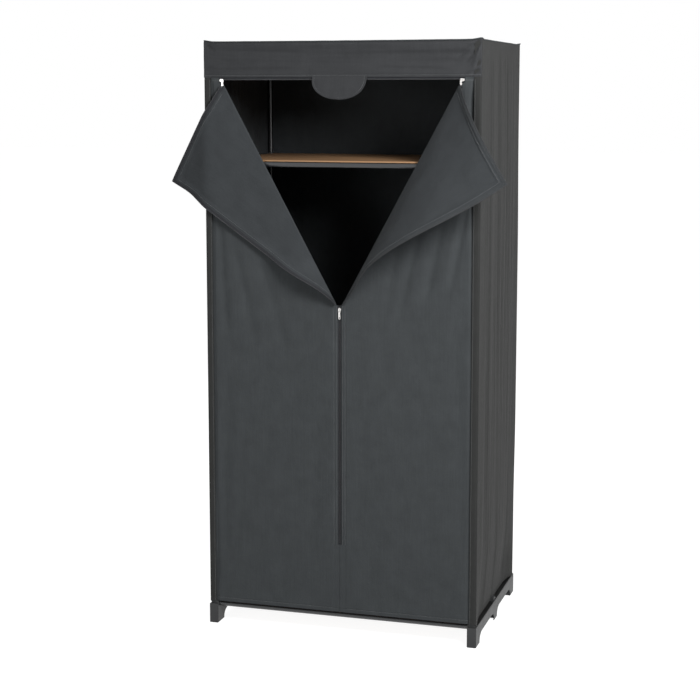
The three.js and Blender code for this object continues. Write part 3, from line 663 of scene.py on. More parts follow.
# ------------------------------------------------------------------ the doors
def creased(x, z, lines):
    """What crease lines, each (x0, z0, x1, z1, width, depth), add at a point."""
    out = 0.0
    for x0, z0, x1, z1, width, depth in lines:
        dx, dz = x1 - x0, z1 - z0
        length = hypot(dx, dz)
        along = ((x - x0) * dx + (z - z0) * dz) / length / length
        across = ((x - x0) * dz - (z - z0) * dx) / length
        ends = smooth((along + 0.15) / 0.3) * smooth((1.25 - along) / 0.5)
        out += depth * exp(-(across / width) ** 2) * ends
    return out


# x from the middle outwards, as the photograph shows them below each flap
DOOR_CREASES = {
    "right": (
        (0.377, 1.300, 0.330, 1.060, 0.011, -0.0030),
        (0.360, 1.290, 0.300, 1.040, 0.013, 0.0012),
        (0.303, 1.230, 0.255, 1.010, 0.012, -0.0028),
        (0.262, 1.220, 0.226, 1.000, 0.014, 0.0010),
        (0.229, 1.190, 0.178, 0.960, 0.012, -0.0024),
        (0.169, 1.160, 0.128, 0.930, 0.012, -0.0018),
        (0.384, 1.600, 0.381, 1.330, 0.006, -0.0035),
        (0.352, 1.622, 0.371, 1.440, 0.0052, -0.0030),
        (0.358, 1.622, 0.380, 1.500, 0.0042, 0.0016),
        (0.345, 1.612, 0.360, 1.520, 0.0045, -0.0026),
        (0.350, 0.900, 0.372, 0.300, 0.020, -0.0016),
        (0.060, 0.700, 0.090, 0.240, 0.030, -0.0012),
    ),
    "left": (
        (0.385, 1.560, 0.382, 1.340, 0.008, -0.0022),
        (0.373, 1.240, 0.350, 0.900, 0.013, -0.0026),
        (0.322, 1.140, 0.262, 0.880, 0.014, -0.0020),
        (0.244, 1.110, 0.165, 0.850, 0.016, -0.0018),
        (0.352, 0.760, 0.366, 0.220, 0.018, -0.0022),
        (0.300, 0.620, 0.330, 0.200, 0.016, -0.0014),
        (0.070, 0.640, 0.085, 0.280, 0.020, -0.0015),
        (0.384, 0.400, 0.388, 0.110, 0.009, -0.0020),
    ),
}


def door_relief(side, x, z):
    """How far the door cloth stands out from its flat face; x is from the middle outwards."""
    out = -0.0022 * sin(pi * min(max(x / SEAM_X, 0), 1))
    phase = 3.1 if side == "right" else 8.6
    out += 0.0019 * soft_noise(x * 7 + phase, 0.3, z * 2.6)
    out += 0.0007 * soft_noise(x * 23 + phase, 1.7, z * 6)
    out += 1.5 * creased(x, z, DOOR_CREASES[side])
    out = max(-0.0070, min(out, 0.0012))
    inner = smooth((x - 0.018) / 0.03)
    if z > FOLD_Z - 0.02:
        inner *= smooth((-from_fold(x, z)[1] - 0.006) / 0.025)
    out *= inner * smooth((z - HEM_Z) / 0.05) * smooth((FRONT_TOP_Z - z) / 0.03)
    slack = smooth((z - 1.10) / 0.25) * smooth((FRONT_TOP_Z - 0.012 - z) / 0.07)
    beside = exp(-((x - SEAM_X + 0.003) / mix(0.0042, 0.0075, slack)) ** 2)
    out -= mix(0.0030, 0.0052, slack) * beside * smooth((FRONT_TOP_Z - z) / 0.02)
    out -= 0.0024 * smooth((x - SEAM_X + 0.002) / 0.003)
    out = max(out, -0.0074)
    if z < FOLD_Z:
        for seam in SEAMS:
            out -= 0.0014 * groove(x - seam, 0.0014)
        above_stop = smooth((z - ZIP_STOP_Z - 0.004) / 0.012)
        out += mix(-0.0006, 0.0006, above_stop) * smooth((SEAMS[1] + 0.001 - x) / 0.003)
    out -= 0.0006 * groove(z - HEM_TOP_Z)
    # room for the header pull that swings out over the door's upper corner
    out -= 0.0006 * smooth((x - 0.350) / 0.008) * smooth((z - 1.594) / 0.012)
    return out


def door_columns():
    """Shares of the way from the door's inner edge to its edge under the side cloth."""
    columns = [0, 0.0006, 0.0018, 0.0027, 0.0036, 0.0060, 0.0102, 0.0112, 0.0122, 0.0150]
    columns += spread(0.019, 0.352, 46)
    columns += [0.357, 0.362, 0.366, 0.370, 0.374, 0.377, 0.380, 0.3825]
    columns += [0.3845, 0.3858, 0.3870, 0.3885, DOOR_EDGE_X - ZIP_EDGE]
    return [c / (DOOR_EDGE_X - ZIP_EDGE) for c in columns]


def fold_point(along, across):
    """A point of the closed door, x from the middle outwards."""
    return (FOLD_X + ALONG.x * along + ACROSS.x * across,
            FOLD_Z + ALONG.z * along + ACROSS.z * across)


def from_fold(x, z):
    """The other way round: how far along and across the fold a door point lies."""
    return ((x - FOLD_X) * ALONG.x + (z - FOLD_Z) * ALONG.z,
            (x - FOLD_X) * ACROSS.x + (z - FOLD_Z) * ACROSS.z)


def top_edge(x):
    return DOOR_TOP_Z - TOP_SLOPE * (x - FOLD_X)


def door_edges(along):
    """How far across the door's zip edge and its top edge lie, from the fold."""
    zip_edge = (FOLD_X - ZIP_EDGE + ALONG.x * along) / ALONG.z
    top = DOOR_TOP_Z - FOLD_Z - along * (ALONG.z + TOP_SLOPE * ALONG.x)
    return zip_edge, top / (ALONG.x - TOP_SLOPE * ALONG.z)


# the flap's corner, along and across the fold: where the two edges meet, as both are straight
gaps = [top - zip_edge for zip_edge, top in map(door_edges, (0, 1))]
TIP_ROW = gaps[0] / (gaps[0] - gaps[1])

# the angle between the flap and the door, by the distance across from the fold
FLAP_BEND = {
    "right": ((0.0, 49.0), (0.10, 32.0), (0.20, 17.0), (0.31, 11.0)),
    "left": ((0.0, 3.0), (0.10, 1.5), (0.31, 0.5)),
}
# beside the slider it stands out further: by how much, and over what length
FLAP_LIFT = {"right": (34.0, 0.54), "left": (70.0, 0.24)}
BEND_STEP = 0.012  # the flap's curl is summed up in steps of this length
# the left flap wraps back round the wardrobe's corner
WRAP_START = 0.395
WRAP_RADIUS = 0.060
WRAP_TURN = radians(25.0)
LEFT_GATHER = 0.075  # and is gathered a little along its zip


def bend(side, along, across):
    stops = FLAP_BEND[side]
    angle = stops[-1][1]
    for (b0, a0), (b1, a1) in zip(stops, stops[1:]):
        if across < b1:
            angle = mix(a0, a1, (across - b0) / (b1 - b0))
            break
    lift, length = FLAP_LIFT[side]
    lift *= 1 - smooth(along / length)
    if side == "right":
        lift *= mix(0.25, 1.0, smooth(along / 0.16))
    return radians(angle + lift)


def flap_frame(side, along, across):
    """Where a point of the door is when the flap is folded out, and the way its outer face
    looks. Both are in the door's own axes: x outwards, y to the back, z up."""
    x, z = fold_point(along, 0)
    start = bend(side, along, 0)
    rolled = across + FOLD_RADIUS
    arc = FOLD_RADIUS * (pi - start)
    if rolled <= 0:
        over, out = across, 0.0
        look = (0.0, 1.0)
    elif rolled <= arc:
        turn = rolled / FOLD_RADIUS
        over = -FOLD_RADIUS + FOLD_RADIUS * sin(turn)
        out = FOLD_RADIUS - FOLD_RADIUS * cos(turn)
        look = (-sin(turn), cos(turn))
    else:
        over = -FOLD_RADIUS + FOLD_RADIUS * sin(start)
        out = FOLD_RADIUS * (1 + cos(start))
        begin = arc - FOLD_RADIUS
        steps = max(2, int((across - begin) / BEND_STEP) + 1)
        for k in range(steps):
            at = mix(begin, across, (k + 0.5) / steps)
            angle = bend(side, along, at - begin)
            over -= cos(angle) * (across - begin) / steps
            out += sin(angle) * (across - begin) / steps
        angle = bend(side, along, across - begin)
        look = (-sin(angle), -cos(angle))
    if side == "left":
        rows = smooth(along / 0.15) * smooth((TIP_ROW + 0.02 - along) / 0.10)
        over *= 1 - LEFT_GATHER * rows
    point = Vector((x + ACROSS.x * over, -out, z + ACROSS.z * over))
    normal = Vector((ACROSS.x * look[0], -look[1], ACROSS.z * look[0]))
    beyond = point.x - WRAP_START
    if side == "left" and beyond > 0:
        turn = min(beyond / WRAP_RADIUS, WRAP_TURN)
        rest = beyond - WRAP_RADIUS * turn
        point.x = WRAP_START + WRAP_RADIUS * sin(turn) + rest * cos(turn)
        point.y += WRAP_RADIUS * (1 - cos(turn)) + rest * sin(turn)
        normal.rotate(Matrix.Rotation(turn, 3, "Z"))
    return point, normal


def flap_relief(side, along, across):
    """Soft waves in the flap, along its outer face's normal; none beside the fold."""
    if across < 0.012:
        return 0.0
    phase = 2.0 if side == "right" else 5.0
    rim = min(door_edges(along)) - across
    fade = smooth((across - 0.012) / 0.05) * smooth((rim - 0.004) / 0.03)
    wave = 0.0075 * soft_noise(along * 5 + phase, across * 6, 0.2)
    wave += 0.0030 * soft_noise(along * 14 + phase, across * 17, 0.9)
    if side == "left":
        wave *= 0.6
    return wave * fade


def outward(side, x, y, z):
    """From a door's own axes to the model."""
    return place(SIDES[side] * x, y, z)


def flap_spot(side, along, across, behind=0.0):
    """A point of the folded-out flap, this far behind the cloth's outer face, and the way
    that face looks."""
    point, normal = flap_frame(side, along, across)
    point = point + normal * (flap_relief(side, along, across) - behind)
    return outward(side, *point), Vector((SIDES[side] * normal.x, normal.y, normal.z))


def flap_at(side, x, z, behind):
    return flap_spot(side, *from_fold(x, z), behind)


def door_rows():
    """Heights of the door's rows below the fold."""
    bend_z = FOLD_Z + ALONG.z * FIRST_ROW + ACROSS.z * FOLD_START
    low = rows_up_to(ZIP_STOP_Z - 0.006, 14) + [ZIP_STOP_Z - 0.0006, ZIP_STOP_Z]
    return low + spread(ZIP_STOP_Z + 0.01, bend_z - 0.012, 46) + [bend_z - 0.0004]


def flap_rows():
    return spread(FIRST_ROW, TIP_ROW, 44) + spread(TIP_ROW, LAST_ROW, 14)[1:]


RIM_FALL = ALONG.x - 0.0165 * ALONG.z  # of the flap's top edge, per metre across
HEM_STEPS = (0, 0.0005, 0.0015, 0.0060, 0.0110, 0.0125, 0.0135, 0.0145, 0.0165, 0.0185)


def hem_mitre(offset):
    """Where the line this far inside the flap's zip and top edges turns its corner."""
    x = ZIP_EDGE + offset
    return from_fold(x, top_edge(x) - offset)[0]


def strip_columns(along):
    """Distances across the fold strip's columns, from the door to the flap."""
    room = min(door_edges(along)) - ARC_END
    lead = min(FOLD_LEAD, max(0.0002, room * 0.3))
    arc = spread(-FOLD_RADIUS, ARC_END, 10)
    return [FOLD_START, -FOLD_RADIUS - 0.0010] + arc + [ARC_END + lead * 0.5, ARC_END + lead]


def flap_columns(along):
    """(along, across, thickness) of one row of the flap, from the fold strip to the edge."""
    begin = strip_columns(along)[-1]
    room = min(door_edges(along)) - begin
    squeeze = min(1.0, room * 0.6 / (HEM_STEPS[-1] * 2.17))
    rim = []
    for k, step in enumerate(reversed(HEM_STEPS)):
        offset = step * squeeze
        mitre = hem_mitre(offset)
        if along <= TIP_ROW:
            row = along * mitre / TIP_ROW
            edge = (FOLD_X - ZIP_EDGE - offset + ALONG.x * row) / ALONG.z
        else:
            share = (FOLD_LENGTH - along) / (FOLD_LENGTH - TIP_ROW)
            row = FOLD_LENGTH - share * (FOLD_LENGTH - mitre)
            edge = door_edges(row)[1] - offset / RIM_FALL
        rim.append((row, max(edge, begin + 0.0001), mix(CLOTH, HEM, smooth(k / 1.5))))
    row, edge, _ = rim[0]
    inner = [(mix(along, row, t), mix(begin, edge, t), CLOTH) for t in spread(0, 1, 26)[:-1]]
    return inner + rim


def build_door(side):
    """The door cloth below and beside the fold, with its hems and seams."""
    def spot(x, z, inset=0.0):
        return outward(side, x, inset - door_relief(side, x, z), z)

    def station(start, share):
        x, z = mix(start[0], DOOR_EDGE_X, share), start[1]
        inset = TOP_INSET * sum(groove(z - seam) for seam in TOP_SEAMS)
        thick = HEM if z < FOLD_Z and x < HEM_WIDTH else hem_depth(z)
        return spot(x, z, inset if z > FOLD_TOP_Z else 0.0), (x * SIDES[side], z), thick

    low = door_rows()
    starts = [(DOOR_GAP if z < ZIP_STOP_Z - 0.0003 else ZIP_EDGE, z) for z in low]
    beside = [fold_point(along, FOLD_START) for along in flap_rows()]
    heights = [1.6312, 1.6340]
    heights += [seam + step for seam in TOP_SEAMS for step in (-0.0006, 0, 0.0006)]
    heights += [1.6430, FRONT_TOP_Z]
    top = [(0.3600, 1.6290)] + [(TOP_CORNER_X, z) for z in heights]
    rows, uvs, thick = woven(starts + beside + top, door_columns(), station)
    normals = grid_normals(rows, FORWARD)
    for line in normals[len(low):len(low) + len(beside)]:
        line[0] = FORWARD
    piece = Piece()
    piece.layers(rows, normals, uvs, thick)
    for seam in SEAMS:
        piece.stitches([spot(seam, z) for z in low[1:]], FORWARD)
    across = spread(HEM_WIDTH + 0.004, SEAM_X - 0.002, 60)
    piece.stitches([spot(x, HEM_TOP_Z) for x in across], FORWARD)
    across = spread(0.367, SEAM_X - 0.001, 8)
    for z in TOP_SEAMS:
        piece.stitches([spot(x, z, TOP_INSET) for x in across], FORWARD)
    made = finish_piece(piece, f"front_cloth_{side}", FABRIC, "carcass",
                        [f"cover_front_{side}"])


def flap_station(side, along, across, thick):
    x, z = fold_point(along, across)
    return *flap_spot(side, along, across), (x * SIDES[side], z), thick


def build_fold(side):
    """The strip of cloth that bends over between the door and its flap."""
    rows, normals, uvs, thick = woven(
        flap_rows(), strip_columns,
        lambda along, across: flap_station(side, along, across, CLOTH))
    piece = Piece()
    piece.layers(rows, normals, uvs, thick)
    made = piece.build(f"fold_cloth_{side}", FABRIC)
    begin = place(0, -0.0010, FOLD_Z)
    end = place(0, -0.0035, FOLD_Z)
    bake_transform(made)


def build_flap(side):
    """The folded-out flap: it shows its inside, with the hems and the seams of its zips."""
    rows, normals, uvs, thick = woven(
        flap_rows(), flap_columns, lambda _, spot: flap_station(side, *spot))
    shown = grid_normals(rows, normals)
    shown[0], shown[-1] = normals[0], normals[-1]
    for line, first in zip(shown, normals):
        line[0] = first[0]
    piece = Piece()
    piece.layers(rows, shown, uvs, thick)
    for offset in FLAP_SEAMS:
        flap_seams(piece, side, offset)
    made = finish_piece(piece, f"flap_cloth_{side}", FABRIC, f"flap_{side}",
                        [f"flap_{side}"])
    return made


def flap_seams(piece, side, offset):
    """Stitches this far inside the flap's zip edge and its top edge, on its inner face."""
    x_seam = ZIP_EDGE + offset
    fold_end = FOLD_Z + (ARC_END + 0.002 + (x_seam - FOLD_X) * ALONG.z) / ALONG.x
    upright = [(x_seam, z) for z in spread(fold_end, DOOR_TOP_Z - offset, 110)]
    level = [(x, top_edge(x) - offset) for x in spread(x_seam, 0.338 - offset, 60)]
    for points in (upright, level):
        spots = [flap_at(side, x, z, HEM) for x, z in points]
        piece.stitches([point for point, _ in spots], [-normal for _, normal in spots])


def build_flap_zip(side):
    """The flap's half of the middle zip and of its header zip, on the inner face."""
    corner_z = DOOR_TOP_Z + ZIP_EDGE - TOP_TAPE_EDGE
    upright, level = [], []
    for z in spread(FOLD_Z + 0.010, corner_z, 150):
        limit = FOLD_X - (ARC_END + 0.001 - (z - FOLD_Z) * ALONG.x) / ALONG.z
        outer = min(TAPE_WIDTH, limit, max(TAPE_EDGE + 0.0006, TAPE_EDGE + corner_z - z))
        if limit > TAPE_EDGE + 0.0008:
            upright.append(((TAPE_EDGE, z), (outer, z)))
    for x in spread(TAPE_EDGE, FLAP_ZIP_RUNS[1], 80):
        top = top_edge(x) + ZIP_EDGE - TOP_TAPE_EDGE
        drop = min(TAPE_WIDTH - TAPE_EDGE, max(0.0006, x - TAPE_EDGE))
        level.append(((x, top), (x, top - drop)))
    piece = Piece()
    for run in (upright, level):
        stations = []
        for inner, outer in run:
            a, normal = flap_at(side, *inner, TAPE_DEPTH + TAPE)
            b, _ = flap_at(side, *outer, TAPE_DEPTH + TAPE)
            stations.append((a, b, -normal))
        piece.tape(stations)
        piece.coil([a - n * TAPE for a, _, n in stations],
                   [(b - a).normalized() for a, b, _ in stations],
                   [-n for _, _, n in stations], (0.0011, 0.0009))
    # painted shade: the left flap's tape takes the darker copy of the tape colour, the right
    # flap's the lighter copy
    looks = ZIPPER if side == "left" else FLAP_ZIPPER
    made = finish_piece(piece, f"flap_zip_tape_{side}", looks, f"flap_{side}",
                        [f"flap_zip_{side}"])
    return made


def build_middle_zip():
    """Both halves of the middle zip below the fold, and its bottom stop."""
    piece = Piece()
    top = FOLD_Z + 0.004
    for sign in SIDES.values():
        stations = [(place(sign * TAPE_EDGE, TAPE_DEPTH, z),
                     place(sign * TAPE_WIDTH, TAPE_DEPTH, z), FORWARD)
                    for z in spread(ZIP_STOP_Z - 0.008, top, 60)]
        piece.tape(stations)
        piece.coil([a for a, _, _ in stations if a.z > ZIP_STOP_Z],
                   Vector((sign, 0, 0)), FORWARD, (0.0010, 0.0008))
    stop = ((-0.0036, 0.0), (0.0036, 0.0), (0.0030, 0.0055), (-0.0030, 0.0055))
    piece.block([place(x, y, ZIP_STOP_Z - 0.0062 + z)
                 for y in (TAPE_DEPTH - 0.0011, TAPE_DEPTH + TAPE + 0.0008)
                 for x, z in stop])
    made = finish_piece(piece, "middle_zip_tape", ZIPPER, "carcass", ["zip_middle"])


def build_header_zip():
    """The header's half of the two zips, sewn behind the header's lower edge."""
    piece = Piece()
    reach = HEADER_ZIP_REACH
    stations = [(place(x, TAPE_DEPTH, HEADER_ZIP_Z + TAPE_EDGE),
                 place(x, TAPE_DEPTH, HEADER_ZIP_Z + TAPE_WIDTH), FORWARD)
                for x in spread(-reach, reach, 120)]
    piece.tape(stations)
    piece.coil([a for a, _, _ in stations], UPWARD, FORWARD, (0.0010, 0.0008))
    made = finish_piece(piece, "header_zip_tape", ZIPPER, "carcass", ["zip_header"])


# ------------------------------------------------------------------ header, roof, sides, back
HEADER_CREASES = (
    (0.404, 1.742, 0.345, 1.704, 0.0052, -0.0030),
    (0.407, 1.736, 0.368, 1.690, 0.0046, -0.0026),
    (0.398, 1.746, 0.320, 1.726, 0.0052, 0.0024),
    (0.408, 1.728, 0.390, 1.676, 0.0040, 0.0020),
    (0.404, 1.664, 0.356, 1.650, 0.0046, -0.0030),
    (0.408, 1.676, 0.372, 1.652, 0.0042, 0.0024),
    (0.409, 1.690, 0.392, 1.654, 0.0038, -0.0022),
    (0.300, 1.668, 0.120, 1.672, 0.0060, -0.0022),
    (0.250, 1.712, -0.060, 1.708, 0.0070, -0.0018),
    (0.110, 1.692, -0.200, 1.697, 0.0060, 0.0014),
    (-0.120, 1.716, -0.380, 1.724, 0.0060, -0.0020),
    (-0.150, 1.670, -0.390, 1.666, 0.0055, -0.0020),
    (-0.200, 1.700, -0.395, 1.703, 0.0050, 0.0012),
    (-0.404, 1.738, -0.380, 1.722, 0.0030, -0.0016),
)
MEMBER_HEIGHTS = (1.396, 1.717)  # of the shelf and top side members, which the sides touch


def header_relief(x, z):
    """Soft level folds, and the pull of the corners."""
    up = (z - HEADER_Z) / (TOP_Z - HEADER_Z)
    edges = smooth((HALF_WIDTH - abs(x)) / 0.05)
    out = 0.0034 * sin(up * pi * 2.3 + 0.6 + 0.9 * soft_noise(x * 2.2, 4.0, 0.0)) * edges
    out += 0.0054 * soft_noise(x * 2.6, 7.7, z * 24) * edges
    out += 0.0036 * soft_noise(x * 2.0, 3.3, z * 62) * edges
    out += 1.7 * creased(x, z, HEADER_CREASES)
    return max(-0.0085, min(out, 0.0056)) * smooth(up / 0.12) * smooth((1 - up) / 0.10)


def top_line(x, y):
    """How far the cover's top edge drops between its corners; its sewn corners stand up."""
    across = 1 - (x / HALF_WIDTH) ** 2
    ear = smooth((abs(x) - HALF_WIDTH + EAR) / EAR)
    ear *= smooth((abs(2 * y - DEPTH) / 2 - DEPTH / 2 + EAR) / EAR)
    return 0.0008 * across - 0.0040 * ear


def build_header():
    """The band above the doors."""
    def station(up, x):
        z = HEADER_Z + up
        y = -0.0012 - header_relief(x, z) + 0.0003 * groove(up - HEADER_SEAM)
        y += 0.0016 * (1 - smooth((HALF_WIDTH - abs(x)) / 0.0030)) ** 2
        y += 0.0030 * smooth((up - 0.0965) / 0.0040)
        drop = top_line(x, 0) * smooth(up / 0.1)
        return place(x, y, z - drop), (x, z), HEM if up < HEADER_HEM else CLOTH

    heights = [0, 0.0006, 0.0020, 0.0050, HEADER_SEAM, 0.0062]
    heights += spread(0.010, 0.094, 26) + [0.0970, 0.0990, 0.1003, 0.1010, 0.1016]
    columns = edged(-HALF_WIDTH, HALF_WIDTH, (0, 0.0008, 0.0020, 0.004), 170)
    piece = woven_piece(heights, columns, station, FORWARD)
    z = HEADER_Z + HEADER_SEAM
    piece.stitches([place(x, -0.0009 - header_relief(x, z), z)
                    for x in spread(-HALF_WIDTH + 0.004, HALF_WIDTH - 0.004, 150)], FORWARD)
    made = finish_piece(piece, "header_cloth", SHADED_HEADER_FABRIC, "carcass", ["cover_header"])


def side_folds(side, y, z):
    """How far a side stands out: it hangs in soft upright folds and bellies out low down."""
    deep = y / DEPTH
    phase = 11.0 if side == "right" else 17.0
    between = smooth((y - 0.030) / 0.09) * smooth((DEPTH - 0.026 - y) / 0.09)
    out = 0.0034 * sin(pi * deep) * smooth((z - 0.15) / 0.5) * smooth((TOP_Z - z) / 0.35)
    out += 0.0052 * soft_noise(y * 11 + phase, 0.5, z * 0.7)
    out += 0.0024 * soft_noise(y * 30 + phase, 2.5, z * 1.0)
    out += 0.0011 * soft_noise(y * 75 + phase, 6.5, z * 1.6)
    out *= between * smooth((TOP_Z - 0.012 - z) / 0.08) * smooth((z - HEM_Z) / 0.05)
    low = smooth((HEM_Z + DRAW_HEIGHT - z) / DRAW_HEIGHT) ** 1.5
    out -= DRAW_IN * low * smooth(min(1.0, 6.0 * deep * (1 - deep)))
    high = smooth((z - 0.3) / 0.3) * smooth((1.5 - z) / 0.4)
    out += 0.0025 * smooth((deep - 0.80) / 0.15) * high
    near_member = sum(exp(-((z - height) / 0.05) ** 2) for height in MEMBER_HEIGHTS)
    return max(out, -0.0002 if near_member > 0.4 else -0.0035 - DRAW_IN)


def side_section():
    """Stations (x, y, normal) round the side cloth, from its front seam onto the back."""
    fronts = [SEAM_X + step for step in (0, 0.0006, 0.0018, 0.0030, 0.0036)]
    fronts += spread(SEAM_X + 0.006, HALF_WIDTH - CORNER, 5)
    flat = [(x, 0.0, (0.0, -1.0)) for x in fronts]
    flat += quarter(HALF_WIDTH - CORNER, CORNER, CORNER, -pi / 2, 7)[1:]
    straight = spread(CORNER, DEPTH - BACK_CORNER, 130)[1:]
    flat += [(HALF_WIDTH, y, (1.0, 0.0)) for y in straight]
    flat += quarter(HALF_WIDTH - BACK_CORNER, DEPTH - BACK_CORNER, BACK_CORNER, 0, 9)[1:]
    backs = spread(HALF_WIDTH - BACK_CORNER, HALF_WIDTH - BACK_WRAP, 4)[1:]
    return flat + [(x, DEPTH, (0.0, 1.0)) for x in backs]


def side_spot(side, x, y, normal, z):
    """A point of a side's outer face: its relief, its hem over the base and its top line."""
    out = side_folds(side, y, z) if 0 < y < DEPTH else 0.0
    below_header = 1 - smooth((z - 1.640) / 0.006)
    if y == 0:
        out = 0.0010 + 0.0006 * smooth((x - SEAM_X) / 0.008)
        out -= 0.0003 * groove(x - SEAM_X - 0.0030)
        out *= below_header
    elif y < CORNER:
        out += 0.0016 * (1 - y / CORNER) * below_header
    out -= 0.0005 * groove(z - HEM_TOP_Z)
    rise = (z - HEM_Z) / (TOP_Z - HEM_Z)
    drop = top_line(x, y) * smooth((rise - 0.9) / 0.1)
    low = smooth((y + 0.001) / 0.014) * smooth((0.5 - rise) / 0.4)
    drop += (HEM_Z - SIDE_HEM) * low
    over = smooth((0.0165 - abs(y - BLOCK_Y)) / 0.0075)
    drop -= BLOCK_RISE * over * smooth((0.04 - rise) / 0.04)
    return outward(side, x + normal[0] * out, y + normal[1] * out, z - drop)


def build_side(side):
    """A side, wrapped round onto the front and the back."""
    sign = SIDES[side]

    def station(z, spot):
        (x, y, normal), length = spot
        return (side_spot(side, x, y, normal, z), (sign * length, z), hem_depth(z),
                Vector((sign * normal[0], normal[1], 0)))

    section = side_section()
    lengths = [0.0]
    for (x0, y0, _), (x1, y1, _) in zip(section, section[1:]):
        lengths.append(lengths[-1] + hypot(x1 - x0, y1 - y0))
    heights = rows_up_to(1.722, 96) + [1.731, 1.738, 1.7425, 1.7455, 1.7472, 1.7480]
    rows, uvs, thick, looks = woven(heights, list(zip(section, lengths)), station)
    piece = Piece()
    piece.layers(rows, grid_normals(rows, looks), uvs, thick)
    piece.stitches([row[3] + FORWARD * 0.0001 for row, z in zip(rows, heights)
                    if z < FRONT_TOP_Z], FORWARD)
    made = finish_piece(piece, f"side_cloth_{side}", (SHADED_SIDE_CLOTH, CLOTH_IN, THREAD), "carcass",
                        [f"cover_side_{side}"])


def build_back():
    """The plain back between the sides' edges."""
    edge = HALF_WIDTH - 0.012

    def station(z, x):
        out = 0.0042 * soft_noise(x * 9 + 3, 31.0, z * 0.7)
        out += 0.0018 * soft_noise(x * 24 + 3, 37.0, z * 1.2)
        out = max(out, -0.0010) * smooth((edge - abs(x)) / 0.10)
        out *= smooth((z - HEM_Z) / 0.2) * smooth((TOP_Z - z) / 0.12)
        out -= 0.0003 * groove(z - HEM_TOP_Z) + 0.0012
        return place(x, DEPTH + out, z - top_line(x, DEPTH)), (x, z), hem_depth(z)

    heights = rows_up_to(1.735, 60) + [1.7440, 1.7470, 1.7480]
    columns = edged(-edge, edge, (0, 0.001, 0.006), 110)
    piece = woven_piece(heights, columns, station, BACKWARD)
    made = finish_piece(piece, "back_cloth", FABRIC, "carcass", ["cover_back"])


def roof_height(x, y):
    inset = min(HALF_WIDTH - abs(x), y, DEPTH - y)
    sag = 0.0050 * smooth(inset / 0.18)
    wave = 0.0012 * soft_noise(x * 7, y * 7, 3.0) * smooth(inset / 0.05)
    return TOP_Z - 0.0006 - sag + wave - top_line(x, y) * (1 - smooth(inset / 0.05))


def build_roof():
    """The roof, sagging a little, and the piping round it."""
    edge = 0.0022
    rim = (edge, edge + 0.0015, 0.008)
    piece = woven_piece(
        edged(0, DEPTH, rim, 44), edged(-HALF_WIDTH, HALF_WIDTH, rim, 64),
        lambda y, x: (place(x, y, roof_height(x, y)), (x, y), CLOTH), UPWARD)
    made = finish_piece(piece, "roof_cloth", FABRIC, "carcass", ["cover_top"])
    ring = []
    centre = CORNER * 0.8  # of the piping's round corners, from the cover's faces
    radius = centre - 0.0002
    for sx, sy, start in ((-1, -1, pi), (1, -1, -pi / 2), (1, 1, 0.0), (-1, 1, pi / 2)):
        ring += quarter(sx * (HALF_WIDTH - centre), DEPTH / 2 + sy * (DEPTH / 2 - centre),
                        radius, start, 5)
    path = []
    for (x0, y0, _), (x1, y1, _) in zip(ring, ring[1:] + ring[:1]):
        count = max(1, int(hypot(x1 - x0, y1 - y0) / 0.02))
        for t in spread(0, 1, count)[:-1]:
            x, y = mix(x0, x1, t), mix(y0, y1, t)
            ripple = 0.0004 * soft_noise(x * 30, y * 30, 0.0)
            path.append(place(x, y, TOP_Z - 0.0012 - top_line(x, y) + ripple))
    piping = Piece()
    piping.tube(path, PIPING, 8, 0, closed=True)
    finish_piece(piping, "roof_piping", FABRIC, "carcass")


def build_tab():
    """The half-round tab: bound along its edge, a stitch line inside the binding."""
    low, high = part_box("header_tab")
    half = (high.x - low.x) / 2
    front = low.y - FRONT_Y
    back = high.y - FRONT_Y
    top, drop = high.z, high.z - low.z
    straight = 0.16  # the share of its drop below which it narrows
    end = 0.9995  # not quite the lowest point, where it would have no width

    def tab_point(u, v):
        """u from -1 to 1 across, v from 0 at the seam to 1 at the lower edge."""
        wide = max(0.0, 1 - max(0.0, (v - straight) / (1 - straight)) ** 2.3) ** 0.5
        y = mix(back, front + CLOTH, smooth(v / 0.6)) - 0.0006 * sin(v * 5) * (1 - u * u)
        return half * wide * u, y + 0.0022 * (u * u) * v, top - drop * v

    def station(v, u):
        x, y, z = tab_point(u, min(end, v))
        return place(x, y - CLOTH, z), (x, z), CLOTH

    across = [-1, -0.99, -0.965, -0.94] + spread(-0.9, 0.9, 28) + [0.94, 0.965, 0.99, 1]
    down = spread(0, 0.9, 24) + [0.93, 0.955, 0.975, 0.99, 0.997, 1.0]
    piece = woven_piece(down[::-1], across, station, FORWARD)
    rim = [(-1, v) for v in spread(0.02, 0.97, 30)]
    rim += [(u, end) for u in spread(-0.97, 0.97, 14)]
    rim += [(1, v) for v in spread(0.97, 0.02, 30)]
    path, seam = [], []
    for u, v in rim:
        x, y, z = tab_point(u, v)
        path.append(place(x, y - CLOTH / 2, z))
        toward = Vector((-x, 0, top - drop * 0.35 - z)).normalized()
        seam.append(place(x + toward.x * 0.0052, y - CLOTH, z + toward.z * 0.0052))
    piece.tube(path, BINDING, 6, 0)
    piece.stitches(seam, FORWARD)
    made = finish_piece(piece, "tab_cloth", SHADED_HEADER_FABRIC, "header_tab", ["header_tab"])


# ------------------------------------------------------------------ the pieces
for side in SIDES:
    build_door(side)
    build_fold(side)
    flap = build_flap(side)
    flap_zip = build_flap_zip(side)
    build_side(side)
    # the flap hangs curved; the flap and its zip tape each get a mesh of their own
    swing = joints[f"flap_{side}_fold"]
    axis = Vector(swing["axis"]).normalized()
    rest_normal = Quaternion(axis, -radians(swing["range_deg"][1])) @ FORWARD
    anchor = Vector(swing["pos_m"])
    for made in (flap, flap_zip):
        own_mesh(made)
build_middle_zip()
build_header_zip()
build_header()
build_back()
build_roof()
build_tab()

